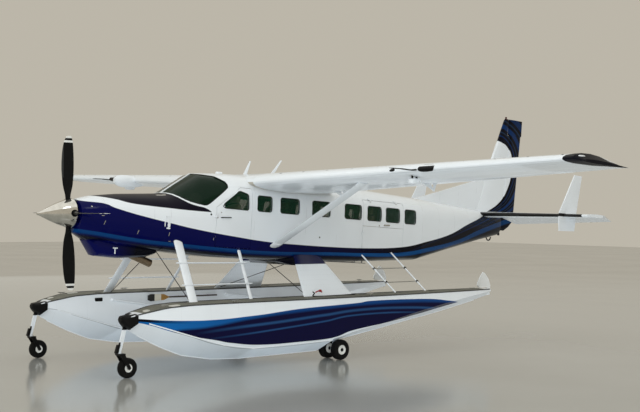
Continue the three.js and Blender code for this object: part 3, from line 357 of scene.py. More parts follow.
for node in nodes.values():
    # smooth, except over real edges
    for face in node.data.polygons:
        face.use_smooth = True
    node.modifiers.new("weld", "WELD").merge_threshold = 0.0001
    node.modifiers.new("edges", "EDGE_SPLIT").split_angle = SMOOTH_BELOW

dress(
    livery("fuselage_paint"), *both("cabin_side", "crew_door"), "nose_cowl", "cabin_floor", "cabin_roof",
    "cargo_door_upper", "cargo_door_lower", "stair_door_upper", "stair_door_lower", "tail_cone", "fin",
    "rudder", "belly_fairing",
)

# Fuselage fittings
# Aerials, a roof dome, latches, locks, handles and the boarding step's bracket are screwed to the skin;
# they are cast or folded aluminium, white, black or bare.

HULL = [
    # station, half width, top, shoulder, bottom, bilge, top power, bottom power
    (0.7, 0.32, 0.285, 0.0, -0.312, -0.02, 2.1, 2.1),
    (0.95, 0.44, 0.358, 0.0, -0.44, -0.06, 2.2, 2.2),
    (1.5, 0.56, 0.433, 0.02, -0.52, -0.12, 2.3, 2.5),
    (2.3, 0.668, 0.5, 0.05, -0.56, -0.2, 2.4, 3.0),
    (2.434, 0.686, 0.524, 0.05, -0.568, -0.215, 2.4, 3.0),
    (2.7, 0.722, 0.706, 0.05, -0.58, -0.245, 2.2, 3.1),
    (3.05, 0.768, 0.937, 0.1, -0.602, -0.29, 2.2, 3.2),
    (3.3, 0.795, 0.966, 0.25, -0.614, -0.32, 2.4, 3.4),
    (3.6, 0.815, 0.988, 0.4, -0.62, -0.35, 2.5, 3.5),
    (4.3, 0.815, 1.01, 0.45, -0.622, -0.35, 2.6, 3.5),
    (5.8, 0.815, 1.01, 0.45, -0.603, -0.35, 2.6, 3.5),
    (6.7, 0.815, 0.985, 0.45, -0.58, -0.35, 2.6, 3.5),
    (8.6, 0.724, 0.91, 0.45, -0.47, -0.24, 2.5, 3.2),
    (9.76, 0.535, 0.855, 0.43, -0.212, 0.06, 2.4, 2.6),
    (11.0, 0.3, 0.786, 0.43, 0.076, 0.25, 2.2, 2.2),
    (11.74, 0.135, 0.742, 0.5, 0.238, 0.4, 2.0, 2.0),
    (11.85, 0.095, 0.73, 0.52, 0.285, 0.43, 2.0, 2.0),
]


def row_at(rows, value):
    """A table's row at a value of its first column, on straight lines between its rows."""
    after = max(1, next((i for i, row in enumerate(rows) if row[0] >= value), len(rows) - 1))
    first, second = rows[after - 1], rows[after]
    t = (value - first[0]) / (second[0] - first[0])
    return [a + (b - a) * t for a, b in zip(first, second)]


def hull_ring(s):
    """Half the hull's outline at a station, as widths and heights from the bottom to the top."""
    _, half, top, shoulder, bottom, bilge, top_power, bottom_power = row_at(HULL, s)
    ring = []
    for base, end, power in ((bilge, bottom, bottom_power), (shoulder, top, top_power)):
        arc = [
            (half * max(0.0, math.cos(a)) ** (2 / power), base + (end - base) * math.sin(a) ** (2 / power))
            for a in (math.radians(degrees) for degrees in range(0, 91, 15))
        ]
        ring += arc[::-1] if end < base else arc
    return ring


def half_width(s, w):
    ring = hull_ring(s)
    for (x0, w0), (x1, w1) in zip(ring, ring[1:]):
        if w0 <= w <= w1:
            return x0 if w1 == w0 else x0 + (x1 - x0) * (w - w0) / (w1 - w0)
    return 0.0


def on_skin(s, w, lift=0.0, side=1):
    """A point on the hull's side, or lifted off it."""
    slope = (half_width(s, w + 0.004) - half_width(s, w - 0.004)) / 0.008
    size = math.hypot(1, slope)
    return at_station(side * (half_width(s, w) + lift / size), s, w - lift * slope / size)


def only(*pieces):
    bpy.ops.object.select_all(action="DESELECT")
    for piece in pieces:
        piece.select_set(True)
    bpy.context.view_layer.objects.active = pieces[0]


def sewn(piece, fill=False):
    """Closes the seams, poles and open ends of a piece, and turns its faces outwards."""
    only(piece)
    bpy.ops.object.mode_set(mode="EDIT")
    bpy.ops.mesh.select_all(action="SELECT")
    bpy.ops.mesh.remove_doubles(threshold=0.00002)
    if fill:
        bpy.ops.mesh.fill_holes(sides=0)
    bpy.ops.mesh.normals_make_consistent(inside=False)
    bpy.ops.object.mode_set(mode="OBJECT")
    return piece


def form(across, along, place, fill=False):
    """A sheet whose points are placed by two shares from 0 to 1."""
    bpy.ops.object.select_all(action="DESELECT")
    bpy.ops.mesh.primitive_grid_add(x_subdivisions=across, y_subdivisions=along, size=2)
    sheet = bpy.context.object
    for point in sheet.data.vertices:
        point.co = place((point.co.x + 1) / 2, (point.co.y + 1) / 2)
    return sewn(sheet, fill)


def joined(pieces):
    """One piece made of a list of pieces, with its place applied to its mesh."""
    only(*(pieces if isinstance(pieces, list) else [pieces]))
    if isinstance(pieces, list):
        bpy.ops.object.join()
    bpy.ops.object.transform_apply(location=True, rotation=True, scale=True)
    return bpy.context.object


def copied(piece):
    twin = piece.copy()
    twin.data = piece.data.copy()
    bpy.context.scene.collection.objects.link(twin)
    return twin


def settled(pieces, name, paint, body="airframe", sharp=35):
    """Makes a finished piece: joined, shaded, painted and fixed to a body."""
    piece = joined(pieces)
    bpy.ops.object.shade_smooth_by_angle(angle=math.radians(sharp))
    piece.name = piece.data.name = name
    piece.data.materials.clear()
    piece.data.materials.append(paint.material)
    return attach(piece, body)


def pair(pieces, name, paint, body="airframe", sharp=35, instead_of=None):
    """A port piece and its starboard twin, each on its own side's body if there is one.

    They stand for the two nodes that are named instead_of.
    """
    piece = joined(pieces)
    twin = copied(piece)
    for point in twin.data.vertices:
        point.co.x *= -1
    for one, hand in ((sewn(twin), "starboard"), (piece, "port")):
        own = f"{body}_{hand}"
        settled(one, f"{name}_{hand}", paint, own if own in frame["bodies"] else body, sharp)
        if instead_of:
            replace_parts(one, f"{instead_of}_{hand}")


def pipe(points, radius, sides=10, flat=1.0):
    """A bar of round or flattened section along points; radius may be one for each point."""
    path = [Vector(point) for point in points]
    radii = radius if isinstance(radius, (list, tuple)) else [radius] * len(path)

    def place(u, v):
        i = round(v * (len(path) - 1))
        along = (path[min(i + 1, len(path) - 1)] - path[max(i - 1, 0)]).normalized()
        across = along.cross(Vector((0.05, 0.09, 0.99))).normalized()
        angle = 2 * math.pi * u
        return path[i] + (across * math.cos(angle) + across.cross(along) * math.sin(angle) * flat) * radii[i]

    return form(sides, len(path) - 1, place, fill=True)


def bent(points, steps=6):
    """A smooth curve through points."""
    points = [Vector(point) for point in points]
    ends = [points[0] * 2 - points[1], *points, points[-1] * 2 - points[-2]]
    path = []
    for a, b, c, d in zip(ends, ends[1:], ends[2:], ends[3:]):
        for i in range(steps):
            t = i / steps
            square, cube = (a * 2 - b * 5 + c * 4 - d) * t * t, (b * 3 - a - c * 3 + d) * t**3
            path.append((b * 2 + (c - a) * t + square + cube) * 0.5)
    return [*path, points[-1]]


def softened(corners, radius, steps=5, spacing=0.04):
    """A closed outline with rounded corners, and points along its straight runs."""
    outline = []
    for i, corner in enumerate(corners):
        corner = Vector(corner)
        start = corner + (Vector(corners[i - 1]) - corner).normalized() * radius
        end = corner + (Vector(corners[(i + 1) % len(corners)]) - corner).normalized() * radius
        for step in range(steps + 1):
            t = step / steps
            outline.append(start * (1 - t) ** 2 + corner * 2 * t * (1 - t) + end * t * t)
    dense = []
    for point, after in zip(outline, outline[1:] + outline[:1]):
        count = max(1, round((after - point).length / spacing))
        dense += [point.lerp(after, i / count) for i in range(count)]
    return dense


def corners(x0, y0, x1, y1):
    return [(x0, y0), (x1, y0), (x1, y1), (x0, y1)]


def oblong(s, w, length, height, turn=0):
    """A round-ended outline about a place on the hull, turned by degrees."""
    sharp = corners(-length / 2, -height / 2, length / 2, height / 2)
    around = Matrix.Rotation(math.radians(turn), 2)
    return [around @ point + Vector((s, w)) for point in softened(sharp, min(length, height) * 0.48, 4, 0.03)]


def squared(value, power):
    """A sine or cosine that makes a circle squarer, or keeps its sign."""
    return math.copysign(abs(value) ** power, value)


def band(outline, rings, side=1, where=on_skin):
    """A strip round an outline; rings give its inset, or None for the middle, and its lift."""
    count, middle = len(outline), sum(outline, Vector((0, 0))) / len(outline)

    def place(u, v):
        i = round(u * count) % count
        inset, lift = rings[round(v * (len(rings) - 1))]
        point = middle
        if inset is not None:
            edge = (outline[(i + 1) % count] - outline[i - 1]).normalized()
            point = outline[i] + Vector((-edge.y, edge.x)) * inset
        return where(point.x, point.y, lift, side)

    return form(count, len(rings) - 1, place)


def patch(outline, lift, side=1, where=on_skin, sink=-0.004):
    """A thin sheet that follows a curved surface right across an outline."""
    count, middle = len(outline), sum(outline, Vector((0, 0))) / len(outline)
    under = [(share, sink) for share in (0.0, 0.3, 0.65, 1.0)]
    shares = [*under, (1.0, lift * 0.7), *((share, lift) for share in (0.985, 0.8, 0.6, 0.4, 0.2, 0.0))]

    def place(u, v):
        share, height = shares[round(v * (len(shares) - 1))]
        point = middle.lerp(outline[round(u * count) % count], share)
        return where(point.x, point.y, height, side)

    return form(count, len(shares) - 1, place)


def plate(outline, lift, side=1, where=on_skin):
    """A raised plate with a small rounded edge."""
    rings = [(None, -0.004), (0.0, -0.004), (0.0, lift * 0.6), (0.0015, lift), (None, lift)]
    return band(outline, rings, side, where)


DIRT = srgb(97, 97, 93)


def plain_paint(name, slot, colour, roughness=0.25, coat=0.3, dirt=0.08, dirt_colour=DIRT, shine=0.35):
    paint = Paint(name, slot)
    dust = paint.noise(2.3, 6.0)
    paint.surface(
        Base_Color=paint.dusted(colour, dust, dirt, dirt_colour),
        Roughness=dust.rise(0.3, 0.9) * 0.08 + roughness,
        Coat_Weight=coat, Coat_Roughness=0.08, Specular_IOR_Level=shine,
    )
    return paint.bump(paint.noise(260.0, 1.0) * 0.03, 0.002)


def metal(name, slot, colour, roughness, grain=0.08, scale=60.0, metallic=1.0, tint=None):
    paint = Paint(name, slot)
    cloud = paint.noise(scale, 4.0)
    darker = tint or tuple(c * 0.75 for c in colour[:3]) + (1.0,)
    paint.surface(
        Base_Color=paint.mix(cloud.rise(0.3, 0.8) * 0.5, colour, darker), Metallic=metallic,
        Roughness=cloud * grain + roughness,
    )
    return paint.bump(cloud * 0.1, 0.001, 0.3)


def rubber_paint(name, shade=10):
    paint = Paint(name, "black plastic")
    cloud = paint.noise(30.0, 5.0)
    worn = srgb(shade * 2, shade * 2, shade * 2)
    paint.surface(
        Base_Color=paint.mix(cloud.rise(0.3, 0.8), srgb(shade, shade, shade + 1), worn),
        Roughness=cloud * 0.2 + 0.5, Specular_IOR_Level=0.2,
    )
    return paint.bump(cloud * 0.4, 0.002)


fitting_white = plain_paint("fitting_white", "white paint", WHITE, 0.22)
black_rubber = rubber_paint("black_rubber")
bare_metal = metal("bare_metal", "polished metal", srgb(206, 206, 204), 0.2)
black_fitting = plain_paint(
    "black_fitting", "black paint", srgb(6, 6, 7), 0.4, 0.0, 0.04, srgb(60, 58, 54), 0.2
)


def roof_blade(foot, tip, chord, tip_chord, thick=0.012):
    """A swept blade aerial on the centre line."""
    def place(u, v):
        angle = 2 * math.pi * u
        reach = 0.5 + 0.5 * math.cos(angle)
        s, w = (a + (b - a) * v for a, b in zip(foot, tip))
        span = chord + (tip_chord - chord) * v
        x = thick * (1 - 0.6 * v) * math.sin(angle) * (0.35 + 0.65 * reach)
        return at_station(x, s + (reach - 0.5) * span, w)

    return form(16, 8, place, fill=True)


aerials = [
    roof_blade((4.343, 1.0), (4.466, 1.305), 0.1, 0.035),
    roof_blade((4.95, 1.0), (5.235, 1.392), 0.11, 0.04),
]
settled(aerials, "roof_aerials", fitting_white)

DOME_SIDES = 16


def dome(s, w, radius, lift, side=1, where=on_skin):
    """A low round head."""
    turns = [2 * math.pi * i / DOME_SIDES for i in range(DOME_SIDES)]
    around = [Vector((s + radius * math.cos(a), w + radius * math.sin(a))) for a in turns]
    rings = [(None, -0.003), (0.0, -0.003), (0.0, lift * 0.5), (radius * 0.4, lift * 0.9), (None, lift)]
    return band(around, rings, side, where)


LATCHES = [
    # station, height, length and turn of each latch along the cowl's joints
    (1.036, 0.013, 0.05, 0), (1.074, -0.106, 0.075, 72), (1.685, -0.236, 0.075, 72),
    (2.278, -0.24, 0.07, 80), (2.305, -0.368, 0.05, 0),
]
STEP_BRACKET = [
    # station, height, length, width and thickness of each plate
    (2.183, -0.01, 0.012, 0.2, 0.012), (2.262, -0.02, 0.05, 0.2, 0.006), (2.222, 0.075, 0.09, 0.014, 0.01),
    (2.25, -0.135, 0.07, 0.03, 0.012),
]
GRIP = [
    # share of a handle's length, and how far it stands off there
    (0.0, -0.003), (0.03, 0.014), (0.12, 0.02), (0.5, 0.022), (0.88, 0.02), (0.97, 0.014), (1.0, -0.003),
]
for side, hand in HANDS:
    latches = [plate(oblong(s, w, length, 0.012, turn), 0.005, side) for s, w, length, turn in LATCHES]
    latches.append(dome(0.862, 0.16, 0.012, 0.004, side))
    settled(latches, f"cowl_latches_{hand}", bare_metal)
    boarding = [plate(oblong(s, w, long, wide), lift, side) for s, w, long, wide, lift in STEP_BRACKET]
    settled(boarding, f"cowl_step_bracket_{hand}", fitting_white)
    door = f"crew_door_{hand}"
    grip = pipe([on_skin(3.3 + 0.21 * t, 0.125 + 0.013 * t, lift, side) for t, lift in GRIP], 0.009)
    settled(grip, f"crew_door_handle_{hand}", black_fitting, door)
    locks = [dome(3.225, 0.12, 0.014, 0.003, side), dome(3.299, 0.219, 0.012, 0.003, side)]
    settled(locks, f"crew_door_locks_{hand}", bare_metal, door)
    ports = [dome(3.09, 0.169, 0.018, 0.003, side), dome(5.666, -0.116, 0.016, 0.003, side)]
    settled(ports, f"skin_ports_{hand}", black_fitting)

def bow_handle(door, side, dish, start, run, climb):
    """A bowed grip over a shallow dish on a door's upper half."""
    s, w = start
    bow = [(t, 0.004 + 0.014 * math.sin(math.pi * t)) for t in (i / 8 for i in range(9))]
    grip = pipe([on_skin(s + run * t, w + climb * t, lift, side) for t, lift in bow], 0.007)
    settled([plate(oblong(*dish), 0.004, side), grip], f"{door}_handle", bare_metal, f"{door}_upper")


bow_handle("cargo_door", 1, (7.5, 0.229, 0.19, 0.035, 3), (7.43, 0.225), 0.15, 0.008)
settled(dome(7.277, 0.209, 0.016, 0.003), "cargo_door_lock", bare_metal, "cargo_door_upper")
bow_handle("stair_door", -1, (7.66, 0.23, 0.17, 0.035), (7.6, 0.23), 0.13, 0.0)


def crosswise(ring, s, x, lift):
    """A point on the hull's roof or belly, found along a ring that starts in the middle."""
    for (x0, w0), (x1, w1) in zip(ring, ring[1:]):
        if x0 <= abs(x) <= x1 and x1 > x0:
            return at_station(x, s, w0 + (w1 - w0) * (abs(x) - x0) / (x1 - x0) + lift)
    return at_station(x, s, ring[0][1] + lift)


def on_top(s, x, lift=0.0, side=1):
    return crosswise(hull_ring(s)[::-1], s, x, lift)


def on_belly(s, x, lift=0.0, side=1):
    return crosswise(hull_ring(s), s, x, -lift)

ROOF_DOME_RINGS = [(0.0, -0.01), (0.0, 0.022), (0.012, 0.036), (None, 0.04)]
settled(band(oblong(3.735, 0.0, 0.14, 0.1), ROOF_DOME_RINGS, 1, on_top), "roof_aerial_dome", fitting_white)
marks = [plate(oblong(2.28, x, 0.2, 0.05, 20 * x), 0.003, 1, on_top) for x in (-0.3, 0.3)]
settled(marks, "cowl_top_latches", bare_metal)
caps = [dome(s, x, 0.03, 0.004, 1, on_belly) for s, x in ((4.2, 0.3), (4.2, -0.3), (7.2, 0.2), (7.9, -0.25))]
settled(caps, "belly_fittings", black_fitting)

# Engine and cabin
# The engine and firewall are hidden metal. Leather seats stand on tubular frames along floor rails;
# the crew face a black panel with blank screens, two control wheels and a lever stand.

dress(metal("engine_metal", "engine metal", srgb(120, 122, 125), 0.35), "engine", "firewall")
dress(plain_paint("panel_black", "black plastic", srgb(14, 14, 16), 0.6, 0.0, shine=0.2), "instrument_panel")

CUSHION = (0.4, 0.46, 0.13)  # across, fore and aft, thickness
BACKREST = (0.4, 0.64, 0.11)
CHANNELS = 4


def leather():
    paint = Paint("seat_leather", "cabin trim")
    values = {"Vector": paint.coordinates(), "Scale": 260.0}
    cells = paint.node("ShaderNodeTexVoronoi", {"feature": "DISTANCE_TO_EDGE"}, values)
    cloud = paint.noise(6.0, 4.0)
    colour = paint.mix(cloud.rise(0.3, 0.75), srgb(196, 186, 166), srgb(168, 156, 134))
    colour = paint.mix(cells.fall(0.0, 0.12) * 0.25, colour, srgb(120, 108, 90))
    paint.surface(Base_Color=colour, Roughness=cloud * 0.15 + 0.42, Coat_Weight=0.08)
    return paint.bump(cells.rise(0.0, 0.25) * 0.6 + cloud * 0.2, 0.0015, 0.6)


def pad(size, channels):
    """A crowned pad, flat below, with sewn channels across its face and stitching round its edge."""
    across, along, thick = size
    bpy.ops.object.select_all(action="DESELECT")
    bpy.ops.mesh.primitive_cube_add(size=2)
    made = bpy.context.object
    bpy.ops.object.mode_set(mode="EDIT")
    bpy.ops.mesh.select_all(action="SELECT")
    bpy.ops.mesh.subdivide(number_cuts=19)
    bpy.ops.object.mode_set(mode="OBJECT")
    for point in made.data.vertices:
        u, v, h = point.co
        reach = max(abs(u), abs(v))
        pull = (1 - 0.07 * (math.hypot(u, v) - reach) ** 1.2 * (0.4 + reach)) * (1 - 0.03 * h * h)
        crown = (1 - u**4) * (1 - v**4)
        lift = h * (0.55 + 0.45 * crown**0.5 if h > 0 else 0.7 + 0.3 * crown**0.5)
        if h > 0.5:
            fold = abs(math.sin(math.pi * channels * (v + 1) / 2)) ** 0.5
            lift -= 0.14 * (1 - fold) * crown
        if reach > 0.93:
            pull *= 1 + 0.02 * math.exp(-((h / 0.18) ** 2))
        point.co = (u * across / 2 * pull, v * along / 2 * pull, lift * thick / 2)
    smooth = made.modifiers.new("smooth", "SUBSURF")
    smooth.levels = smooth.render_levels = 1
    bpy.ops.object.modifier_apply(modifier=smooth.name)
    return made


SEAT_ROWS = [
    # name, station of the seat's front, distance off the middle
    ("crew", 3.35, 0.33), ("first_row", 4.25, 0.38), ("second_row", 5.1, 0.38), ("third_row", 5.95, 0.38),
    ("fourth_row", 6.75, 0.38),
]
UPRIGHT = math.pi / 2 - math.atan2(0.13, 0.64) - PITCH
SEAT_TUBES = [
    # a tube's ends, as distance behind the seat's front and height, and its radius
    (0.05, -0.235, 0.4, -0.235, 0.012), (0.08, -0.24, 0.12, -0.585, 0.012),
    (0.36, -0.24, 0.32, -0.585, 0.012), (0.4, -0.24, 0.56, 0.44, 0.011),
]
leather_paint = leather()
SEAT_PADS = [
    # name, pattern, distance behind the seat's front, height, turn about x and about z
    ("cushion", pad(CUSHION, CHANNELS), 0.225, -0.155, -PITCH, 0),
    ("backrest", pad(BACKREST, CHANNELS + 1), 0.492, 0.1, UPRIGHT, math.pi),
    ("headrest", pad((0.24, 0.15, 0.09), 1), 0.573, 0.5, UPRIGHT, math.pi),
]
tubes = []
for row, front, off in SEAT_ROWS:
    for side, hand in HANDS:
        for what, pattern, behind, height, lean, turn in SEAT_PADS:
            made = copied(pattern)
            place = Matrix.Translation(at_station(side * off, front + behind, height))
            made.matrix_world = place @ Matrix.Rotation(lean, 4, "X") @ Matrix.Rotation(turn, 4, "Z")
            settled(made, f"{row}_{what}_{hand}", leather_paint, sharp=80)
        for x in (side * off - 0.15, side * off + 0.15):
            for s0, w0, s1, w1, radius in SEAT_TUBES:
                tubes.append(pipe([at_station(x, front + s0, w0), at_station(x, front + s1, w1)], radius, 8))
        tubes.append(pipe([at_station(side * off + t, front + 0.545, 0.43) for t in (-0.15, 0.15)], 0.011, 8))
for _, pattern, *_ in SEAT_PADS:
    bpy.data.objects.remove(pattern)
for x in (0.2, 0.5, -0.2, -0.5):
    tubes.append(pipe([at_station(x, 3.3, -0.588), at_station(x, 7.2, -0.582)], 0.014, 6, 0.5))
seat_metal = metal("seat_frame_metal", "cabin trim", srgb(150, 152, 156), 0.35, metallic=0.9)
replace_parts(settled(tubes, "seat_frames", seat_metal), "cabin_seats")

SCREEN_PLANE = 2.902


def on_panel(x, w, lift=0.0, side=1):
    return at_station(x, SCREEN_PLANE + (w - 0.06) * 0.185 + lift, w)


def screen_paint():
    paint = Paint("screen_glass", "black plastic")
    haze = paint.noise(3.0, 2.0)
    colour = paint.mix(haze, srgb(10, 14, 20), srgb(18, 26, 34))
    return paint.surface(Base_Color=colour, Roughness=haze * 0.04 + 0.06, Coat_Weight=1.0)


BEZEL_RINGS = [
    (0.0, -0.002), (0.0, 0.006), (0.004, 0.009), (0.016, 0.009), (0.019, 0.003), (0.019, -0.002),
    (0.0, -0.002),
]
screens, bezels, knobs = [], [], []
for x in (-0.34, 0.0, 0.34):
    screens.append(plate(softened(corners(x - 0.13, 0.105, x + 0.13, 0.295), 0.01, 3), 0.004, 1, on_panel))
    surround = softened(corners(x - 0.15, 0.085, x + 0.15, 0.315), 0.02, 4)
    bezels.append(band(surround, BEZEL_RINGS, 1, on_panel))
    knobs += [dome(x + t, 0.075, 0.009, 0.016, 1, on_panel) for t in (-0.09, -0.03, 0.03, 0.09)]
settled(screens, "panel_screens", screen_paint())
settled([*bezels, *knobs], "panel_bezels", black_fitting)

WHEEL_RIM = [
    (-0.13, 0.02, 0.12), (-0.155, 0.0, 0.04), (-0.11, -0.01, -0.02), (0, -0.015, 0), (0.11, -0.01, -0.02),
    (0.155, 0.0, 0.04), (0.13, 0.02, 0.12),
]
controls = []
for x in (-0.33, 0.33):
    hub = at_station(x, 3.1, 0.07)
    controls.append(pipe([at_station(x, 2.88, 0.1), hub], 0.016))
    controls.append(pipe(bent([hub + Vector(point) for point in WHEEL_RIM], 4), 0.014))
for i, x in enumerate((-0.06, -0.02, 0.02, 0.06)):
    high = 0.04 + 0.012 * i
    controls.append(pipe([at_station(x, 2.93, 0.02), at_station(x, 3.08, high)], 0.005))
    controls.append(pipe([at_station(x - 0.012, 3.08, high), at_station(x + 0.012, 3.08, high)], 0.013))
settled(controls, "control_wheels_and_levers", black_fitting)

# Windows and windshield
# Each pane is stretched acrylic, tinted green, in a black rubber seal under a white retaining frame.
# The panes in the doors swing with them. The windshield sits in its own seal against the roof.


def glass_paint(name, tint, weight):
    paint = Paint(name, "glazing")
    colour = paint.mix(paint.noise(2.0), tint, tuple(c * 1.25 for c in tint[:3]) + (1.0,))
    return paint.surface(Base_Color=colour, Roughness=0.03, Alpha=weight, Specular_IOR_Level=0.16)


pane_glass = glass_paint("green_acrylic", srgb(14, 52, 34), 0.36)
dress(glass_paint("windshield_glass", srgb(4, 30, 17), 0.86), *both("windshield"))
dress(glass_paint("inner_pane", srgb(70, 110, 90), 0.08), *both("side_windows"))

BELT_LOW, BELT_TOP = 0.293, 0.596
CREW_PANE = [(3.345, 0.300), (3.905, 0.292), (3.900, 0.594), (3.690, 0.655), (3.335, 0.372)]
PANES = [(4.1, 4.45), (4.65, 5.12), (5.44, 5.91), (6.29, 6.75), (6.92, 7.33), (7.46, 7.88), (8.03, 8.38)]
DOOR_PANES = {
    # the panes that swing with a door, by their place in PANES
    "port": {4: "cargo_door_upper", 5: "cargo_door_upper"}, "starboard": {5: "stair_door_upper"},
}
SEAL_RINGS = [
    # inset, lift
    (-0.004, -0.006), (-0.003, 0.003), (0.003, 0.005), (0.009, 0.003), (0.012, -0.005), (-0.004, -0.006),
]
FRAME_RINGS = [
    (-0.03, -0.002), (-0.027, 0.002), (-0.006, 0.0035), (-0.003, 0.002), (-0.003, -0.004), (-0.03, -0.002),
]

for side, hand in HANDS:
    outlines = {f"crew_door_{hand}": [softened(CREW_PANE, 0.05)]}
    for i, (front, rear) in enumerate(PANES):
        outline = softened(corners(front, BELT_LOW, rear, BELT_TOP), 0.06)
        outlines.setdefault(DOOR_PANES[hand].get(i, "airframe"), []).append(outline)
    for body, found in outlines.items():
        panes = [patch(outline, 0.0, side, sink=-0.006) for outline in found]
        seals = [band(outline, SEAL_RINGS, side) for outline in found]
        frames = [band(outline, FRAME_RINGS, side) for outline in found]
        for what, made, paint in (
            ("panes", panes, pane_glass), ("pane_seals", seals, black_rubber),
            ("pane_frames", frames, fitting_white),
        ):
            name = f"cabin_{what}_{hand}" if body == "airframe" else f"{body}_{what}"
            settled(made, name, paint, body, 50)

SHIELD_EDGE = [
    # station, height along the windshield's lower and rear edge
    (2.56, 0.452), (2.7, 0.384), (2.96, 0.334), (3.062, 0.372), (3.26, 0.53), (3.45, 0.694), (3.455, 0.79),
    (3.32, 0.885),
]
edge = [on_skin(point.x, point.y, -0.002) for point in bent(SHIELD_EDGE, 5)]
pair(pipe(edge, 0.008), "windshield_seal", black_rubber)

# Exhaust and propeller
# The exhaust stub is heat-browned steel. Four feathered black blades turn in a polished spinner with
# a round hole at each shank, on an axis that points a little down.

exhaust_paint = metal(
    "exhaust_metal", "exhaust steel", srgb(176, 156, 130), 0.34, 0.2, 14.0, 0.9, srgb(128, 98, 70)
)
dress(exhaust_paint, "exhaust_stack")

PROP_CENTRE = Vector((0, -5.734, 2.712))
PROP_DOWN = math.radians(1.57)
SPINNER = [
    # radius, distance aft of the blades' plane
    (0.0, -0.6), (0.012, -0.595), (0.024, -0.575), (0.036, -0.54), (0.06, -0.49), (0.09, -0.43),
    (0.127, -0.355), (0.16, -0.28), (0.193, -0.2), (0.222, -0.12), (0.242, -0.06), (0.255, 0.0),
    (0.2605, 0.03), (0.262, 0.05), (0.259, 0.06), (0.25, 0.062), (0.24, 0.05), (0.1, 0.05), (0.0, 0.05),
]
BLADE = [
    # distance from the axis, half chord, half thickness, sweep of the leading edge
    (0.15, 0.045, 0.045, 0.0), (0.24, 0.046, 0.043, 0.0), (0.33, 0.06, 0.036, 0.0),
    (0.41, 0.086, 0.024, 0.0), (0.48, 0.105, 0.016, 0.0), (0.62, 0.122, 0.012, 0.0),
    (0.76, 0.132, 0.01, 0.0), (0.9, 0.132, 0.009, 0.003), (1.05, 0.124, 0.008, 0.008),
    (1.16, 0.112, 0.007, 0.014), (1.25, 0.095, 0.006, 0.022), (1.31, 0.07, 0.005, 0.03),
    (1.34, 0.052, 0.0045, 0.036), (1.35, 0.03, 0.002, 0.042),
]
prop_frame = Matrix.Translation(PROP_CENTRE) @ Matrix.Rotation(PROP_DOWN, 4, "X")


def between(rows, t):
    """A row of a table at a share of its length, on straight lines."""
    reach = t * (len(rows) - 1)
    i = min(int(reach), len(rows) - 2)
    return [a + (b - a) * (reach - i) for a, b in zip(rows[i], rows[i + 1])]


def spun(profile, sides, place):
    """A surface turned from a profile of radius and distance; place puts a turned point."""
    def point(u, v):
        radius, along = profile[round(v * (len(profile) - 1))]
        return place(radius * math.cos(2 * math.pi * u), radius * math.sin(2 * math.pi * u), along)

    return form(sides, len(profile) - 1, point)


def spinner_radius(aft):
    for (r0, a0), (r1, a1) in zip(SPINNER, SPINNER[1:]):
        if a0 <= aft <= a1:
            return r0 + (r1 - r0) * (aft - a0) / (a1 - a0)
    return 0.26


def chrome():
    paint = Paint("spinner_chrome", "polished metal")
    colour = paint.mix(paint.noise(9.0, 5.0).rise(0.4, 0.8), srgb(226, 223, 216), srgb(196, 193, 186))
    streak = paint.noise(12.0, 4.0, paint.stretched(3.0, 0.4, 3.0))
    return paint.surface(Base_Color=colour, Metallic=1.0, Roughness=streak.rise(0.4, 0.8) * 0.08 + 0.05)


def blade_paint():
    """Matt black blades with a metal strip along the outer leading edge, white tip bands and worn patches."""
    paint = Paint("blade_black", "black paint")
    x, y, z = paint.parts()
    wear = paint.noise(26.0, 6.0)
    colour = paint.mix(wear.rise(0.6, 0.9) * 0.3, srgb(7, 8, 9), srgb(40, 42, 42))
    radius = x.far(z - PROP_CENTRE.z)
    edge = (y - PROP_CENTRE.y).fall(-0.106, -0.1) * radius.above(0.62, 0.01)
    colour = paint.mix(edge * 0.7, colour, srgb(92, 94, 95))
    tips = radius.inside(1.235, 1.272, 0.002).most(radius.above(1.312, 0.002))
    colour = paint.mix(tips, colour, srgb(226, 226, 222))
    rough = wear * 0.16 + 0.28
    paint.surface(Base_Color=colour, Metallic=edge * 0.8, Roughness=rough, Specular_IOR_Level=0.2)
    return paint.bump(wear * 0.15, 0.001, 0.3)


spinner = spun(SPINNER, 72, lambda a, b, aft: prop_frame @ Vector((a, aft, b)))
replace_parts(settled(spinner, "spinner", chrome(), "propeller", 40), "propeller")

SHANK_BOOT = [(0.0, 0.0015), (0.058, 0.0015), (0.062, 0.003), (0.064, -0.004), (0.0, -0.004)]
blades, boots = [], []
for quarter in range(4):
    turn = prop_frame @ Matrix.Rotation(quarter * math.pi / 2, 4, "Y")

    def blade(u, v, turn=turn):
        out, half, thick, sweep = between(BLADE, v)
        angle = 2 * math.pi * u
        round_part = max(0.0, min(1.0, (0.45 - out) / 0.2))
        depth = math.sin(angle) * (round_part + (1 - round_part) * (0.62 + 0.38 * -math.cos(angle)))
        return turn @ Vector((thick * depth, 0.9 * half * math.cos(angle) + sweep, out))

    def boot(aft, across, lift, turn=turn):
        out = math.sqrt(max(0.0, spinner_radius(aft) ** 2 - across * across)) + lift
        return turn @ Vector((across, aft, out))

    blades.append(form(28, len(BLADE) * 2, blade, fill=True))
    boots.append(spun(SHANK_BOOT, 32, boot))
settled(blades, "propeller_blades", blade_paint(), "propeller", 50)
settled(boots, "spinner_shank_holes", rubber_paint("shank_boot"), "propeller")

stay = [
    pipe([(0.27, -4.99, 2.105), (0.27, -4.9, 2.1)], 0.012),
    pipe([(0.272, -4.95, 2.11), (0.262, -4.945, 2.0)], 0.011),
]
pair(stay, "scoop_stays", fitting_white)

# Wings
# The wings are white sheet metal over ribs, with a smooth leading edge and black tips that each carry
# a lamp. Tabs, vents, a probe, a landing light and a small housing are fixed along them.


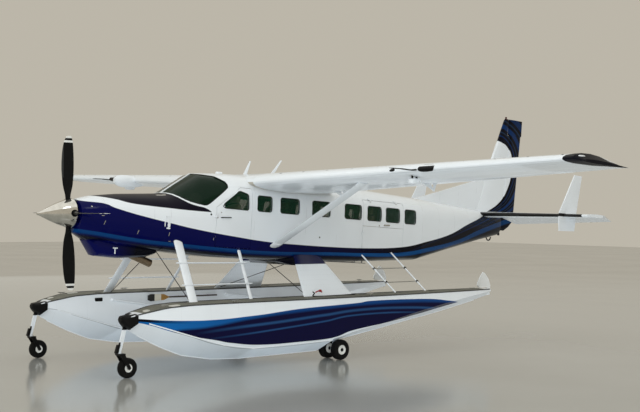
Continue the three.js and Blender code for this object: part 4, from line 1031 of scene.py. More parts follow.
SKIN_DIRT, SEAM_DIRT = srgb(125, 124, 120), srgb(120, 120, 122)
WING_TIP_EDGE = [(-2.4, 7.55), (-1.9, 7.62), (-1.5, 7.72), (-1.0, 7.86), (-0.5, 7.95)]
RIB_GAP = 0.33


def wing_paint(name):
    paint = Paint(name)
    x, y, _ = paint.parts()
    out = abs(x)
    black = out.above(paint.line(y, WING_TIP_EDGE))
    dust = paint.noise(1.7, 5.0)
    colour = paint.dusted(paint.mix(black, WHITE, NIGHT), dust, 0.07, SKIN_DIRT)
    rib = (out - 0.2).repeat(RIB_GAP)
    seams = abs(rib).fall(0.0, 0.003).most(abs(y - out * 0.01 + 1.72).fall(0.0, 0.004))
    head = (y.repeat(0.03) - 0.015).far(rib - 0.012).rise(0.002, 0.005)
    colour = paint.mix(seams * 0.16 * out.above(0.9), colour, SEAM_DIRT)
    paint.surface(
        Base_Color=colour, Roughness=black * 0.2 + dust.rise(0.3, 0.9) * 0.08 + 0.2, Specular_IOR_Level=0.1,
        Coat_Weight=0.25 - black * 0.2, Coat_Roughness=0.08,
    )
    return paint.bump(seams * -0.6 + head * -0.3 + paint.noise(240.0, 1.0) * 0.02, 0.002)


dress(wing_paint("wing_paint"), *both("wing", "aileron", "flap"), "radar_pod")
dress(plain_paint("strut_white", "white paint", WHITE, 0.22, 0.4, 0.1), *both("wing_strut"))

SECTION = [
    # share of the chord, height as a share of the chord; round the leading edge from below
    (0.72, -0.034), (0.4, -0.055), (0.15, -0.05), (0.04, -0.032), (0.006, -0.012), (0.0, 0.004),
    (0.008, 0.03), (0.05, 0.066), (0.15, 0.1), (0.32, 0.115), (0.52, 0.1), (0.72, 0.062),
]
LEADING_EDGE = 5
WING_ROOT, WING_SPAN = 1.0, 6.935  # a wing's root and its length


def wing_point(x, t, lift=0.0, side=1):
    """A point round the wing's section; t counts the section's points from below to above."""
    out = (x - WING_ROOT) / WING_SPAN
    chord, thick = 1.985 - 0.735 * out, 1 - 0.26 * out
    i = min(int(t), len(SECTION) - 2)
    (c0, h0), (c1, h1) = SECTION[i : i + 2]
    dc, dh = c1 - c0, h1 - h0
    c, h = c0 + dc * (t - i), h0 + dh * (t - i)
    size = math.hypot(dc, dh)
    s = 3.975 + 0.525 * out + c * chord - lift * dh / size
    w = 0.84 + 0.29 * out - 0.025 * c * chord + h * chord * thick + lift * dc / size
    return at_station(side * x, s, w)


def above_wing(x, c, lift=0.0, side=1):
    """A point on the wing's upper side, by its share of the chord."""
    i = next(i for i in range(LEADING_EDGE + 1, len(SECTION)) if SECTION[i][0] >= c)
    t = i - 1 + (c - SECTION[i - 1][0]) / (SECTION[i][0] - SECTION[i - 1][0])
    return wing_point(x, t, lift, side)


def under_wing(x, c, lift=0.0, side=1):
    i = next(i for i in range(1, LEADING_EDGE + 1) if SECTION[i][0] <= c)
    t = i - 1 + (SECTION[i - 1][0] - c) / (SECTION[i - 1][0] - SECTION[i][0])
    return wing_point(x, t, lift, side)


tabs = [plate(oblong(1.35 + 0.62 * i, 0.1, 0.03, 0.02), 0.006, 1, above_wing) for i in range(11)]
pair(tabs, "wing_vortex_tabs", black_fitting)

caps = [dome(x, 0.3, 0.045, 0.005, 1, above_wing) for x in (1.9, 4.3)]
caps += [dome(x, 0.42, 0.035, 0.003, 1, under_wing) for x in (1.6, 2.6, 4.0, 5.6, 6.6)]
pair(caps, "wing_caps", fitting_white)


def wrapped(x, half, below, above, lift, roundness=3):
    """A thin rounded sheet laid round the leading edge, from below it to above it."""
    low, high = LEADING_EDGE - below, LEADING_EDGE + above

    def place(u, v):
        reach = half * (1 - abs(2 * v - 1) ** roundness) ** (1 / roundness)
        turn = round(u * 16) % 16
        share, height = (turn / 4 - 1, lift) if turn <= 8 else (3 - turn / 4, -0.004)
        return wing_point(x + reach * share, low + (high - low) * v, height)

    return form(16, round((high - low) * 10), place)


glass_black = glass_paint("landing_light_glass", srgb(5, 5, 7), 0.94)
pair(wrapped(5.05, 0.17, 1.7, 2.1, 0.003), "landing_lights", glass_black)
pair(wrapped(5.05, 0.19, 1.9, 2.2, 0.0015), "landing_light_frames", fitting_white)
pair(wrapped(4.32, 0.06, 0.2, 1.2, 0.003, 2), "leading_edge_ports", black_fitting)

PROBE = [(0.03, 0.0), (-0.12, -0.012), (-0.32, 0.0), (-0.6, 0.005)]
probe = bent([wing_point(4.85, LEADING_EDGE) + Vector((0, y, z)) for y, z in PROBE], 4)
pair(pipe(probe, [0.014] * 4 + [0.011] * 5 + [0.009] * 3 + [0.004]), "pitot_probe", black_fitting)

housing_foot = (under_wing(4.6, 0.09) + under_wing(4.6, 0.2)) / 2


def slung(u, v):
    """A small round-nosed housing hung below the wing."""
    angle, along = 2 * math.pi * u, v * 2 - 1
    size = (1 - along**4) ** 0.5
    across, up = squared(math.cos(angle), 0.5) * size, squared(math.sin(angle), 0.5) * size
    return housing_foot + Vector((0.07 * across, 0.12 * along, 0.05 * up - 0.085))


pair(form(24, 16, slung), "wing_housing", fitting_white)
bracket = [pipe([housing_foot + Vector((0, y, z)) for z in (0.01, -0.05)], 0.016) for y in (-0.05, 0.05)]
pair(bracket, "wing_housing_bracket", black_fitting)


def lamp_paint(name, colour):
    paint = Paint(name, "glazing")
    ribs = paint.noise(60.0, 1.0)
    colour = paint.mix(ribs, colour, srgb(235, 236, 238))
    return paint.surface(Base_Color=colour, Roughness=ribs * 0.1 + 0.08, Coat_Weight=0.6)


tip_foot = wing_point(7.86, LEADING_EDGE + 0.2) + Vector((-0.02, 0.16, 0.02))


def tip_lamp(u, v):
    angle, rise = 2 * math.pi * u, v * math.pi / 2
    y, z = 0.085 * math.cos(angle) * math.cos(rise), 0.02 * math.sin(angle) * math.cos(rise)
    return tip_foot + Vector((0.05 * math.sin(rise), y, z))


tip_white = lamp_paint("tip_lamp_lens", srgb(206, 212, 216))
pair(form(20, 8, tip_lamp, fill=True), "wing_tip_lamps", tip_white)

STRUT_FOOT, STRUT_HEAD = at_station(0.7, 4.57, -0.39), at_station(3.29, 4.625, 0.88)
strut_run = (STRUT_HEAD - STRUT_FOOT).normalized()
strut_up = strut_run.cross(Vector((0, 1, 0))).normalized()
cuffs = []
for t, size in ((0.06, 1.09), (0.955, 1.12)):
    middle = STRUT_FOOT.lerp(STRUT_HEAD, t)

    def cuff(u, v, middle=middle, size=size):
        reach, depth = math.cos(2 * math.pi * u), math.sin(2 * math.pi * u)
        swell = size if 0.1 < v < 0.9 else size * 0.97
        return (
            middle + strut_run * (v - 0.5) * 0.14 + Vector((0, 0.115 * reach * swell, 0))
            + strut_up * 0.042 * depth * (0.75 - 0.25 * reach) * swell
        )

    cuffs.append(form(24, 10, cuff, fill=True))
pair(cuffs, "wing_strut_cuffs", fitting_white)

# Tail
# The tailplane is white with black rubber boots, and the fin and rudder carry the dark livery. A
# beacon tops the fin, and a steel tie-down ring hangs under the tail.


def tail_paint(name):
    """White tailplane with a black rubber boot along its leading edge."""
    paint = Paint(name)
    x, s, w = fuselage_axes(paint)
    out = abs(x)
    edge = (out - 0.15) * 0.1025 + 10.975
    boot = (s - edge).fall(0.08, 0.086) * out.inside(0.12, 2.86) * w.inside(0.6, 0.79)
    boot = boot * (1 - out.inside(2.33, 2.47) * (1 - w.inside(0.665, 0.735)))
    colour = paint.mix(boot, WHITE, srgb(7, 7, 8))
    colour = paint.dusted(colour, paint.noise(2.0, 5.0), 0.07, SKIN_DIRT)
    paint.surface(Base_Color=colour, Roughness=boot * 0.3 + 0.2, Coat_Weight=0.25, Specular_IOR_Level=0.12)
    return paint.bump(paint.noise(240.0, 1.0) * 0.03 - abs(out.repeat(0.24)).fall(0.0, 0.003) * 0.5, 0.002)


dress(tail_paint("tailplane_paint"), *both("stabilizer"))
dress(plain_paint("elevator_paint", "navy paint", srgb(206, 208, 210)), *both("elevator"))

ring_steel = metal("ring_steel", "polished metal", srgb(46, 46, 48), 0.35)
half_turn = [math.pi * i / 14 for i in range(15)]
hoop = [at_station(0, 11.52 + 0.075 * math.cos(a), 0.19 - 0.085 * math.sin(a)) for a in half_turn]
settled(pipe(hoop, 0.014), "tail_tie_down_ring", ring_steel)

BEACON = [
    # radius, height over the fin's top
    (0.028, -0.03), (0.028, 0.003), (0.015, 0.007), (0.015, 0.015), (0.024, 0.018), (0.026, 0.034),
    (0.018, 0.046), (0.0, 0.05),
]


def beacon(u, v):
    radius, height = BEACON[round(v * (len(BEACON) - 1))]
    angle = 2 * math.pi * u
    return Vector((radius * math.cos(angle), 5.765 + radius * math.sin(angle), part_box("fin")[1][2] + height))


beacon_red = plain_paint("beacon_red", "glazing", srgb(70, 10, 12), 0.1)
settled(form(20, len(BEACON) - 1, beacon, fill=True), "fin_beacon", beacon_red)

# Floats
# Each float is a stepped hull of riveted sheet, white above and below, with a dark blue flank on its
# outer side crossed by lighter sweeps. Its deck has grit in the paint, a rubber edge and round caps.

FLOAT_X = 1.631
FLOAT_TOP_LINE = [
    # y, height of the blue's upper edge
    (-5.5, 0.992), (-5.39, 0.985), (-4.91, 0.945), (-4.43, 0.923), (-4.17, 0.917), (-3.27, 0.945),
    (-1.95, 1.032), (-0.64, 1.076), (-0.33, 1.1), (0.92, 1.087), (1.8, 1.021), (2.26, 0.962), (2.6, 0.9),
]
FLOAT_LOW_LINE = [
    (-5.5, 0.935), (-5.38, 0.919), (-5.18, 0.872), (-4.9, 0.781), (-4.62, 0.701), (-4.32, 0.633),
    (-4.0, 0.573), (-3.66, 0.505), (-2.95, 0.435), (-2.2, 0.436), (-1.49, 0.453), (-0.9, 0.56),
    (-0.35, 0.625), (0.645, 0.72), (1.51, 0.85), (2.26, 0.962), (2.6, 1.0),
]
FLOAT_WEDGE_LINE = [
    (-5.5, 0.6), (-4.9, 0.7), (-4.68, 0.774), (-4.31, 0.785), (-3.98, 0.81), (-3.63, 0.848), (-3.27, 0.888),
    (-1.95, 0.972), (-0.64, 1.02), (0.4, 1.03), (1.4, 1.0), (2.6, 0.9),
]
FLOAT_CHINE_LINE = [
    (-5.484, 0.94), (-5.284, 0.928), (-4.884, 0.8), (-4.434, 0.655), (-3.834, 0.48), (-3.234, 0.392),
    (-1.39, 0.42),
]
FLOAT_SWEEPS = [
    # a light line: y and height along it, half width
    ([(-4.4, 0.7), (-3.6, 0.76), (-2.6, 0.814), (-1.52, 0.886), (-0.34, 0.946), (0.48, 0.935), (1.46, 0.875),
      (2.2, 0.8)], 0.022),
    ([(-4.2, 0.6), (-3.4, 0.64), (-2.6, 0.693), (-1.53, 0.774), (-0.74, 0.848), (0.3, 0.85),
      (1.2, 0.78)], 0.014),
]


FLANK_START, FLANK_END = -5.47, 2.28  # the blue flank's ends
WALK_START, WALK_END = -5.3, 3.1  # the ends of the gritted deck
FRAME_GAP = 0.29


def float_paint(name):
    paint = Paint(name, "hull paint")
    x, y, z = paint.parts()
    top = paint.line(y, FLOAT_TOP_LINE)
    flank = top.above(z, 0.003) * z.above(paint.line(y, FLOAT_LOW_LINE), 0.003)
    flank = flank * (abs(x) - FLOAT_X).above(0.02) * y.inside(FLANK_START, FLANK_END)
    bright = (z - paint.line(y, FLOAT_WEDGE_LINE)).rise(-0.02, 0.03)
    light = paint.mix(y.rise(-5.0, -2.5), srgb(16, 98, 168), srgb(8, 62, 124))
    colour = paint.mix(bright, srgb(3, 4, 46), light)
    for points, half in FLOAT_SWEEPS:
        (start, _), *_, (end, _) = points
        near = abs(z - paint.line(y, points)).fall(half * 0.3, half * 1.6)
        ends = y.rise(start, start + 1.2) * y.fall(end - 1.0, end)
        colour = paint.mix(near * ends * 0.75, colour, srgb(38, 82, 132))
    edge_line = (top - z).inside(-0.01, 0.045, 0.003) * y.fall(-5.2, -4.4)
    colour = paint.mix(edge_line, colour, NIGHT)
    # Painted shade: the hull's white turns a cool grey towards the keel.
    hull = paint.mix(z.rise(0.3, 0.9), srgb(212, 221, 230), WHITE)
    body = paint.mix(flank, hull, colour)

    walk = z.above(1.0, 0.01) * paint.parts("Normal")[2].rise(0.6, 0.7) * y.inside(WALK_START, WALK_END)
    grit = paint.noise(420.0, 2.0)
    worn = paint.noise(5.0, 6.0).rise(0.5, 0.75)
    grey = paint.mix(grit.rise(0.3, 0.7), srgb(92, 92, 84), srgb(128, 127, 116))
    body = paint.mix(walk, body, paint.mix(worn * 0.35, grey, srgb(158, 156, 146)))
    # Painted shadow: a dark line just under the chine's spray rail, on the white hull of the forebody.
    chine_rail_shadow = abs(z + 0.012 - paint.line(y, FLOAT_CHINE_LINE)).fall(0.003, 0.007)
    body = paint.mix(chine_rail_shadow * 0.55 * (1 - flank) * y.below(-1.4), body, srgb(52, 56, 64))
    dust = paint.noise(1.9, 6.0)
    scuff = z.fall(0.15, 0.5) * dust.rise(0.4, 0.8)
    body = paint.mix((scuff * 0.2 + dust.rise(0.45, 0.9) * 0.06) * (1 - flank), body, srgb(120, 116, 104))

    frame_seam = y.repeat(FRAME_GAP)
    frames = abs(frame_seam).fall(0.0, 0.003)
    head = (z.repeat(0.02) - 0.01).far(frame_seam - 0.012).rise(0.002, 0.004)
    body = paint.mix(frames * 0.14 * (1 - walk.most(flank)), body, srgb(110, 114, 122))
    paint.surface(
        Base_Color=body, Roughness=walk * 0.5 + dust.rise(0.3, 0.9) * 0.06 + 0.14,
        Coat_Weight=(1 - walk) * (1 - flank * 0.8) * 0.2, Coat_Roughness=0.05, Specular_IOR_Level=0.1,
    )
    return paint.bump(frames * -0.5 - head * 0.3 + grit * walk * 0.6, 0.002)


dress(float_paint("float_paint"), *both("float"))

FLOAT_ROWS = [
    # y, keel, chine half width, chine, deck half width, deck
    (-5.484, 0.795, 0.13, 0.94, 0.135, 1.02), (-5.284, 0.682, 0.205, 0.928, 0.21, 1.07),
    (-4.884, 0.485, 0.32, 0.8, 0.295, 1.15), (-4.434, 0.305, 0.4, 0.655, 0.335, 1.178),
    (-3.834, 0.2, 0.448, 0.48, 0.347, 1.183), (-3.234, 0.168, 0.458, 0.392, 0.35, 1.183),
    (-1.39, 0.189, 0.45, 0.42, 0.35, 1.183), (-1.388, 0.29, 0.44, 0.436, 0.35, 1.183),
    (-0.734, 0.39, 0.395, 0.556, 0.345, 1.183), (0.066, 0.505, 0.375, 0.678, 0.335, 1.184),
    (0.866, 0.632, 0.362, 0.832, 0.32, 1.186), (1.766, 0.766, 0.33, 0.978, 0.29, 1.19),
    (2.866, 0.962, 0.24, 1.12, 0.215, 1.193), (3.316, 1.06, 0.12, 1.15, 0.11, 1.193),
]


def on_deck(x, y, lift=0.0, side=1):
    *_, half, deck = row_at(FLOAT_ROWS, y)
    return Vector((FLOAT_X + x, y, deck + 0.014 * max(0.0, 1 - (x / half) ** 2) + lift))


def rows_along(start, end):
    """Rows of the float's table about 15 cm apart."""
    count = round((end - start) / 0.15)
    return [row_at(FLOAT_ROWS, start + (end - start) * i / count) for i in range(count + 1)]


edging, rails = [], []
deck_rows, chine_rows = rows_along(-5.42, 3.28), rows_along(-5.2, -1.42)
for sign in (-1, 1):
    line = [(FLOAT_X + sign * (half - 0.001), y, deck + 0.001) for y, *_, half, deck in deck_rows]
    edging.append(pipe(line, 0.011, 8))
    line = [(FLOAT_X + sign * (half - 0.002), y, chine) for y, _, half, chine, *_ in chine_rows]
    rails.append(pipe(line, 0.012, 8))
for ends in ((-5.3, -1.42), (-1.36, 2.9)):
    rails.append(pipe([(FLOAT_X, y, keel + 0.003) for y, keel, *_ in rows_along(*ends)], 0.012, 8))
edge_rubber = rubber_paint("deck_edge_rubber", 44)
pair(edging, "deck_edging", edge_rubber)
pair(rails, "float_rails_and_keels", fitting_white)

DECK_CAPS = [
    # distance off the deck's middle, y
    (-0.13, -4.3), (-0.13, -3.25), (-0.13, -2.1), (-0.1, -0.2), (-0.1, 0.85), (-0.1, 1.75), (-0.08, 2.5),
]
pair([dome(x, y, 0.062, 0.006, 1, on_deck) for x, y in DECK_CAPS], "deck_caps", edge_rubber)
HATCHES = [(0.1, -5.18, 0.13, 0.1), (0.18, -4.68, 0.13, 0.2)]
hatches = [plate(oblong(*place), 0.008, 1, on_deck) for place in HATCHES]
pair(hatches, "bow_hatches", plain_paint("hatch_white", "white paint", srgb(214, 214, 206), 0.3))

CLEAT = [(-0.08, 0.044), (-0.05, 0.037), (0.05, 0.037), (0.08, 0.044)]  # y and height along its horns
cleats = []
for y, x in ((-4.9, 0.2), (-3.5, 0.27), (-0.3, 0.27), (1.2, 0.24), (2.7, 0.15)):
    at = on_deck(x, y)
    for t in (-0.025, 0.025):
        cleats.append(pipe([at + Vector((0, t, -0.004)), at + Vector((0, t, 0.035))], 0.008, 8))
    cleats.append(pipe([at + Vector((0, t, z)) for t, z in CLEAT], [0.005, 0.009, 0.009, 0.005], 8))
pair(cleats, "deck_cleats", bare_metal)


def on_inner_side(y, z, lift=0.0, side=1):
    _, _, low_half, chine, half, deck = row_at(FLOAT_ROWS, y)
    return Vector((FLOAT_X - half - (low_half - half) * (deck - z) / (deck - chine) - lift, y, z))


GRAB_TUBES = [
    # y and height of a tube's ends along the float's inner side
    ((-4.12, 1.061), (-3.037, 0.895)), ((-1.469, 1.086), (-0.063, 0.922)),
]
tubes = []
for start, end in GRAB_TUBES:
    stations = ((start, -0.009), (start, 0.045), (end, 0.045), (end, -0.009))
    tubes.append(pipe([on_inner_side(*place, lift) for place, lift in stations], 0.024))
pair(tubes, "float_grab_tubes", fitting_white)
vent = softened(corners(-4.48, 1.035, -4.32, 1.105), 0.02)
pair(plate(vent, 0.004, 1, on_inner_side), "float_side_vents", black_fitting)

# Float struts and ladders
# Streamlined tubes and a broad box strut on each side carry the fuselage on the floats. Two treads and
# a slim rail make the boarding ladder, and a second ladder stands under the cargo door.

gear_white = plain_paint("gear_white", "white paint", WHITE, 0.26, 0.35, 0.14)
BROAD = (Vector((1.56, -4.109, 1.12)), Vector((0.6, -3.874, 2.3)))
RAIL = (Vector((1.47, -2.804, 1.12)), Vector((0.64, -2.589, 2.26)))


def streamlined(foot, head, chord, thick, steps, low, high):
    """A strut of teardrop section from foot to head, trimmed to two shares of its length."""
    run = (head - foot).normalized()
    back = Vector((0, 1, 0))
    back = (back - run * back.dot(run)).normalized()
    up = run.cross(back)

    def place(u, v):
        reach, depth = math.cos(2 * math.pi * u), math.sin(2 * math.pi * u)
        middle = foot.lerp(head, low + (high - low) * v)
        return middle + back * chord / 2 * reach + up * thick / 2 * depth * (0.78 - 0.22 * reach)

    return form(28, steps, place, fill=True)


def tread(t):
    """A flattened tube across the broad strut and the rail, with closed round ends beyond them."""
    first = BROAD[0].lerp(BROAD[1], t) + Vector((0.012, -0.16, 0))
    last = RAIL[0].lerp(RAIL[1], t) + Vector((0.012, 0.11, 0))
    points = [first.lerp(last, i / 16) for i in (0, 0.12, 0.3, *range(1, 16), 15.7, 15.88, 16)]
    return pipe(points, [0.012, 0.024, 0.03, *[0.032] * 15, 0.03, 0.024, 0.012], 16, 0.42)


front_struts = [
    streamlined(*BROAD, 0.176, 0.062, 10, 0.02, 0.985), streamlined(*RAIL, 0.072, 0.036, 10, 0.02, 0.985),
    tread(0.3), tread(0.62),
]
pair(front_struts, "front_struts", gear_white, instead_of="front_strut")

STRUT_DARK_FROM = 1.775


def two_tone():
    """White below and dark above, as the fuselage's paint runs down on to the strut."""
    paint = Paint("rear_strut_paint", "white paint")
    _, y, z = paint.parts()
    dust = paint.noise(2.3, 6.0)
    colour = paint.mix(z.above(STRUT_DARK_FROM, 0.003), WHITE, srgb(3, 7, 60))
    colour = paint.dusted(colour, dust, 0.1, srgb(120, 118, 110))
    screws = (y.repeat(0.06) - 0.03).far(z.repeat(0.09) - 0.045).fall(0.004, 0.0055)
    colour = paint.mix(screws * 0.35 * z.below(STRUT_DARK_FROM), colour, srgb(120, 120, 120))
    rough = dust.rise(0.3, 0.9) * 0.08 + 0.2
    paint.surface(Base_Color=colour, Roughness=rough, Coat_Weight=0.1, Specular_IOR_Level=0.15)
    return paint.bump(screws * -0.4 + paint.noise(240.0, 1.0) * 0.03, 0.002)


def rear_strut(u, v):
    """The broad rear strut, wider at its foot than at its head."""
    t, angle = v - 0.02, 2 * math.pi * u
    fore_edge, rear_edge = 0.375 * t - 1.634, -0.35 * t - 0.374
    reach = squared(math.cos(angle), 0.75)
    depth = 0.032 * squared(math.sin(angle), 0.8) * (0.85 - 0.15 * reach)
    y = (fore_edge + rear_edge) / 2 + (rear_edge - fore_edge) / 2 * reach
    return Vector((1.545 - 0.905 * t + depth * 0.73, y, 1.12 + 0.96 * t + depth * 0.69))


pair(form(48, 12, rear_strut, fill=True), "rear_struts", two_tone(), instead_of="rear_strut")

red = [
    pipe(bent([(1.555, -1.39, 1.27), (1.6, -1.35, 1.3), (1.605, -1.3, 1.3), (1.6, -1.27, 1.275)], 4), 0.012),
    pipe([(1.57, -1.3, 1.3), (1.606, -1.3, 1.3)], 0.024, 14),
]
pair(red, "strut_handle", plain_paint("handle_red", "black plastic", srgb(168, 24, 34), 0.35, 0.2))
HOSE = [
    (1.52, -1.42, 1.28), (1.6, -1.45, 1.255), (1.6, -1.484, 1.21), (1.6, -1.3, 1.198), (1.6, -0.81, 1.2),
    (1.6, -0.5, 1.205), (1.58, -0.42, 1.2),
]
pair(pipe(bent(HOSE, 5), 0.011), "strut_drain_pipe", black_rubber)

LADDER = [
    # foot and head of a leg
    (Vector((1.64, 0.708, 1.13)), Vector((0.7, 0.438, 2.01))),
    (Vector((1.64, 1.561, 1.13)), Vector((0.7, 1.306, 2.01))),
]
legs = [streamlined(foot, head, 0.042, 0.03, 8, 0.03, 0.985) for foot, head in LADDER]
rungs = []
for t in (0.3, 0.6):
    first, last = (foot.lerp(head, t) for foot, head in LADDER)
    rungs.append(pipe([first + Vector((0, -0.05, 0)), last + Vector((0, 0.05, 0))], 0.011))
collars = [
    pipe([foot.lerp(head, t - 0.012), foot.lerp(head, t + 0.012)], 0.026, 14)
    for foot, head in LADDER for t in (0.06, 0.3, 0.6)
]
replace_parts(settled(legs, "rear_ladder_legs", gear_white), "rear_ladder")
settled(rungs, "rear_ladder_rungs", bare_metal)
settled(collars, "rear_ladder_collars", black_fitting)

# Bracing wires
# Taut streamlined steel wires cross from the belly to the floats, inside the broad front struts and
# inside the rear struts; each has a turnbuckle near both its ends.

WIRES = [
    # belly end, float end
    (Vector((0.04, -3.99, 2.06)), Vector((1.39, -4.09, 1.19))),
    (Vector((-0.75, -1.0, 1.9)), Vector((1.4, -1.5, 1.22))),
]
TURNBUCKLE = [(-0.02, 0.006), (-0.014, 0.011), (0.0, 0.012), (0.014, 0.011), (0.02, 0.006)]
steel_wire = metal("brace_wire_steel", "polished metal", srgb(34, 34, 36), 0.4, metallic=0.7)
wires, forks = [], []
for start, end in WIRES:
    wires.append(pipe([start.lerp(end, i / 6) for i in range(7)], 0.007, 8))
    for t in (0.03, 0.95):
        along = [start.lerp(end, t + step) for step, _ in TURNBUCKLE]
        forks.append(pipe(along, [radius for _, radius in TURNBUCKLE]))
pair(wires, "brace_wires", steel_wire)
pair(forks, "brace_turnbuckles", bare_metal)

# Nose gear
# A swivelling fork under each float's bow carries one small ribbed tyre on a white rim. Its white
# sprung leg is bolted to a black casting at the bow, and has a damper beside it.


CASTING_FROM, DAMPER_TOP = 0.8, 0.6  # heights


def leg_paint():
    """Black casting above, white leg, black damper at its front."""
    paint = Paint("bow_leg_paint", "white paint")
    _, y, z = paint.parts()
    dust = paint.noise(5.0, 5.0)
    damper = (y + 5.646 - (z - 0.43) * 0.25).fall(-0.002, 0.002) * z.below(DAMPER_TOP)
    black = z.above(CASTING_FROM, 0.003).most(damper)
    colour = paint.mix(black, WHITE, srgb(9, 9, 10))
    colour = paint.mix(dust.rise(0.4, 0.8) * 0.15 * (1 - black), colour, srgb(96, 94, 88))
    paint.surface(Base_Color=colour, Roughness=black * 0.2 + dust * 0.1 + 0.24, Specular_IOR_Level=0.2)
    return paint.bump(paint.noise(120.0, 2.0) * black * 0.2, 0.001)


dress(leg_paint(), *both("bow_leg"))
dress(black_fitting, *both("nose_fork"))


def tyre_rubber():
    paint = Paint("tyre_rubber", "tyre rubber")
    cloud = paint.noise(30.0, 5.0)
    colour = paint.mix(cloud.rise(0.3, 0.8), srgb(8, 8, 8), srgb(18, 18, 18))
    colour = paint.mix(paint.noise(6.0, 4.0).rise(0.55, 0.85) * 0.12, colour, srgb(74, 70, 64))
    paint.surface(Base_Color=colour, Roughness=cloud * 0.2 + 0.6, Specular_IOR_Level=0.2)
    return paint.bump(cloud * 0.4, 0.002)


rubber = tyre_rubber()
LIP, GROOVE, SHOULDER = 0.035, 0.006, 0.58  # half a groove's width, its depth, and where the tread ends


def tyre_profile(radius, width, bore, grooves):
    """Radius and offset round a tyre's closed section, with ribs between grooves on its tread."""
    wall = radius - bore
    side = [
        (bore, 0.62), (bore + 0.008, 0.74), (bore + wall * 0.3, 0.96), (bore + wall * 0.52, 1.0),
        (bore + wall * 0.72, 0.96), (radius - 0.022, 0.84), (radius - 0.01, 0.72),
    ]
    tread = []
    for i in range(grooves):
        at = SHOULDER - 2 * SHOULDER * i / (grooves - 1)
        top = radius - 0.0035 * (at / SHOULDER) ** 2
        bottom = top - GROOVE
        tread += [(top, at + LIP), (bottom, at + LIP / 2), (bottom, at - LIP / 2), (top, at - LIP)]
    section = [*side, *tread, *((r, -t) for r, t in reversed(side)), side[0]]
    return [(r, width / 2 * t) for r, t in section]


def rim_profile(bore, half, depth):
    """Radius and offset across a dished rim with a raised hub."""
    dish = half * 0.72 - depth
    return [
        (0.0, dish - 0.006), (bore - 0.003, dish - 0.006), (bore + 0.002, half * 0.6),
        (bore + 0.008, half * 0.78), (bore + 0.004, half * 0.82), (bore - 0.004, half * 0.8),
        (bore - 0.012, half * 0.72), (bore * 0.8, dish), (bore * 0.55, dish), (bore * 0.5, half * 0.76),
        (0.0, half * 0.76),
    ]


def wheel_pieces(at, radius, width, bore, grooves):
    """A tyre, and lists of its rims and bolts and of its hub caps."""
    tyre = spun(tyre_profile(radius, width, bore, grooves), 64, lambda a, b, off: at + Vector((off, a, b)))
    rims, hubs = [], []
    face = width / 2 * 0.76
    low = face - 0.02
    cap = [(0.42, -0.004), (0.42, 0.002), (0.36, 0.006), (0.2, 0.007), (0.18, 0.016)]
    cap = [(0.0, face - 0.004), *((bore * r, face + t) for r, t in cap), (0.0, face + 0.017)]
    bolt = [(0.0, low), (0.006, low), (0.006, low + 0.012), (0.0, low + 0.013)]
    for sign in (-1, 1):
        put = lambda a, b, off, sign=sign: at + Vector((sign * off, a, b))
        rims.append(spun(rim_profile(bore, width / 2, 0.012), 48, put))
        hubs.append(spun(cap, 32, put))
        for i in range(6):
            y, z = bore * 0.68 * math.cos(math.pi * i / 3), bore * 0.68 * math.sin(math.pi * i / 3)
            rims.append(spun(bolt, 6, lambda a, b, off, y=y, z=z, put=put: put(a + y, b + z, off)))
    return tyre, rims, hubs


def axle(at, half, radius, sides):
    return pipe([at + Vector((-half, 0, 0)), at + Vector((half, 0, 0))], radius, sides)


NOSE_AXLE = Vector((FLOAT_X, -5.471, 0.1685))
rim_white = plain_paint("rim_white", "white paint", srgb(232, 232, 228), 0.3, 0.3, 0.12)
tyre, rims, hubs = wheel_pieces(NOSE_AXLE, 0.1685, 0.128, 0.062, 4)
pair(tyre, "nose_tyre", rubber, "nose_wheel", instead_of="nose_wheel")
pair(rims, "nose_rim", rim_white, "nose_wheel")
pair([*hubs, axle(NOSE_AXLE, 0.072, 0.0128, 16)], "nose_hub", black_fitting, "nose_wheel")
bolts = [axle(NOSE_AXLE + Vector((0.08275, 0, 0)) * sign, 0.00075 * sign, 0.014, 6) for sign in (-1, 1)]
pair(bolts, "nose_fork_bolts", bare_metal, "nose_fork")

# Main wheels
# Two ribbed tyres share an axle across each float's step, on white rims with dark hub caps.

MAIN_AXLE, WHEEL_OFFSET = Vector((FLOAT_X, -0.984, 0.193)), Vector((0.18, 0, 0))
tyres, rims, hubs = [], [], []
for sign in (-1, 1):
    tyre, more_rims, more_hubs = wheel_pieces(MAIN_AXLE + WHEEL_OFFSET * sign, 0.193, 0.16, 0.082, 5)
    tyres.append(tyre)
    rims += more_rims
    hubs += more_hubs
pair(tyres, "main_tyres", rubber, "main_wheels", instead_of="main_wheels")
pair(rims, "main_rims", rim_white, "main_wheels")
pair([*hubs, axle(MAIN_AXLE, 0.12, 0.025, 20)], "main_hubs", black_fitting, "main_wheels")

# Water rudders
# Each float's stern carries a white leaf-shaped blade that swings up, with its hinge casting and bolt.

dress(plain_paint("rudder_white", "white paint", srgb(234, 236, 236), 0.24, 0.3, 0.12), *both("water_rudder"))
pair(axle(Vector((FLOAT_X, 3.356, 1.09)), 0.026, 0.014, 12), "water_rudder_pin", bare_metal, "water_rudder")

# Paddle
# A wooden paddle with white and black bands on its blade lies clipped along the port side of the
# starboard float's deck.


def paddle_paint():
    paint = Paint("paddle_wood", "wood")
    y = paint.parts()[1]
    grain = paint.noise(1.0, 6.0, paint.stretched(40.0, 2.0, 40.0))
    colour = paint.mix(grain.rise(0.3, 0.7), srgb(186, 144, 72), srgb(132, 92, 40))
    for mask, band_colour in (
        (y.fall(-3.053, -3.047), srgb(222, 216, 200)), (y.fall(-3.203, -3.197), srgb(26, 26, 26)),
        (y.above(-2.86), srgb(58, 46, 38)),
    ):
        colour = paint.mix(mask, colour, band_colour)
    paint.surface(Base_Color=colour, Roughness=grain * 0.15 + 0.32, Coat_Weight=0.3)
    return paint.bump(grain * 0.2, 0.001, 0.3)


dress(paddle_paint(), "paddle")

# Studio
# A pale glossy floor, which lets one lamp shine up through it, and an open backdrop under soft lamps.
# The camera stands where the photograph was taken from.

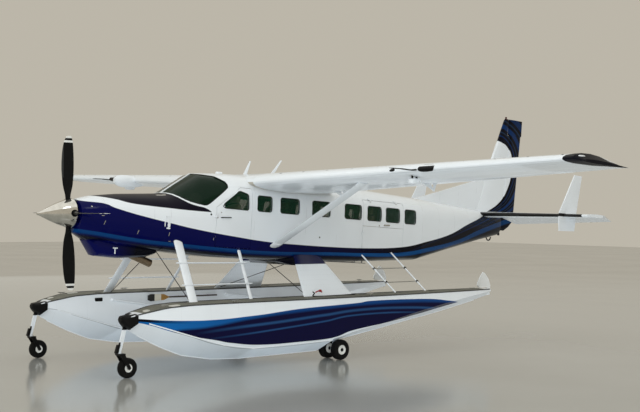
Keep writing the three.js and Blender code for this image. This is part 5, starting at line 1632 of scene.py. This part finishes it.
bpy.ops.object.select_all(action="DESELECT")
bpy.ops.mesh.primitive_plane_add(size=160, location=(0, 0, -0.002))
floor = bpy.context.object
floor.name = "studio_floor"
floor_paint = Paint("studio_floor_paint")
cloud = floor_paint.noise(0.25)
floor_grey = floor_paint.mix(cloud, srgb(156, 157, 153), srgb(170, 171, 167))
floor_paint.surface(Base_Color=floor_grey, Roughness=cloud * 0.08 + 0.1)
floor.data.materials.append(floor_paint.material)
floor.visible_shadow = False

world = bpy.data.worlds.new("studio_air")
world.use_nodes = True
background = world.node_tree.nodes["Background"]
background.inputs["Color"].default_value = srgb(200, 194, 180)
background.inputs["Strength"].default_value = 0.87
scene = bpy.context.scene
scene.world = world
scene.view_settings.view_transform = "Standard"

LAMPS = [
    # name, place, size, power, whether gloss mirrors it
    ("lamp_overhead", (0, -1, 16), 26, 1000, True),
    ("lamp_camera_side", (25, -20, 7), 18, 3300, False),
    ("lamp_glint_port", (18, -9, 24), 5, 320, True),
    ("lamp_glint_starboard", (-18, -9, 24), 5, 320, True),
    ("lamp_nose_side", (3, -30, 5), 12, 1500, False),
    ("lamp_under_floor", (3, -2, -12), 26, 3000, False),
    ("lamp_far_side", (-24, 4, 11), 22, 1500, False),
    ("lamp_rear", (6, 28, 11), 22, 1300, False),
]
LAMP_AIM = Vector((0, 0, 2))
for name, place, size, power, mirrored in LAMPS:
    light = bpy.data.lights.new(name, "AREA")
    light.size, light.energy, light.color = size, power, (0.9, 0.96, 1.0)
    lamp = bpy.data.objects.new(name, light)
    lamp.location = place
    lamp.visible_camera = False
    lamp.visible_glossy = mirrored
    lamp.rotation_euler = (LAMP_AIM - Vector(place)).to_track_quat("-Z", "Y").to_euler()
    scene.collection.objects.link(lamp)

AZIMUTH, ELEVATION, ROLL = math.radians(50.149), math.radians(-0.444), 0.0115
CAMERA_PLACE = (18.1565, -15.1568, 2.7167)
level = Vector((math.cos(AZIMUTH), math.sin(AZIMUTH), 0))
outward = Vector((math.sin(AZIMUTH), -math.cos(AZIMUTH), 0))
back = outward * math.cos(ELEVATION) + Vector((0, 0, math.sin(ELEVATION)))
upright = back.cross(level)
right = level * math.cos(ROLL) + upright * math.sin(ROLL)
up = upright * math.cos(ROLL) - level * math.sin(ROLL)
lens = bpy.data.cameras.new("view_camera")
lens.lens, lens.sensor_width, lens.shift_y, lens.clip_end = 64.31, 36, 0.0014, 300
camera = bpy.data.objects.new("view_camera", lens)
camera.matrix_world = Matrix.Translation(CAMERA_PLACE) @ Matrix((right, up, back)).transposed().to_4x4()
scene.collection.objects.link(camera)
scene.camera = camera
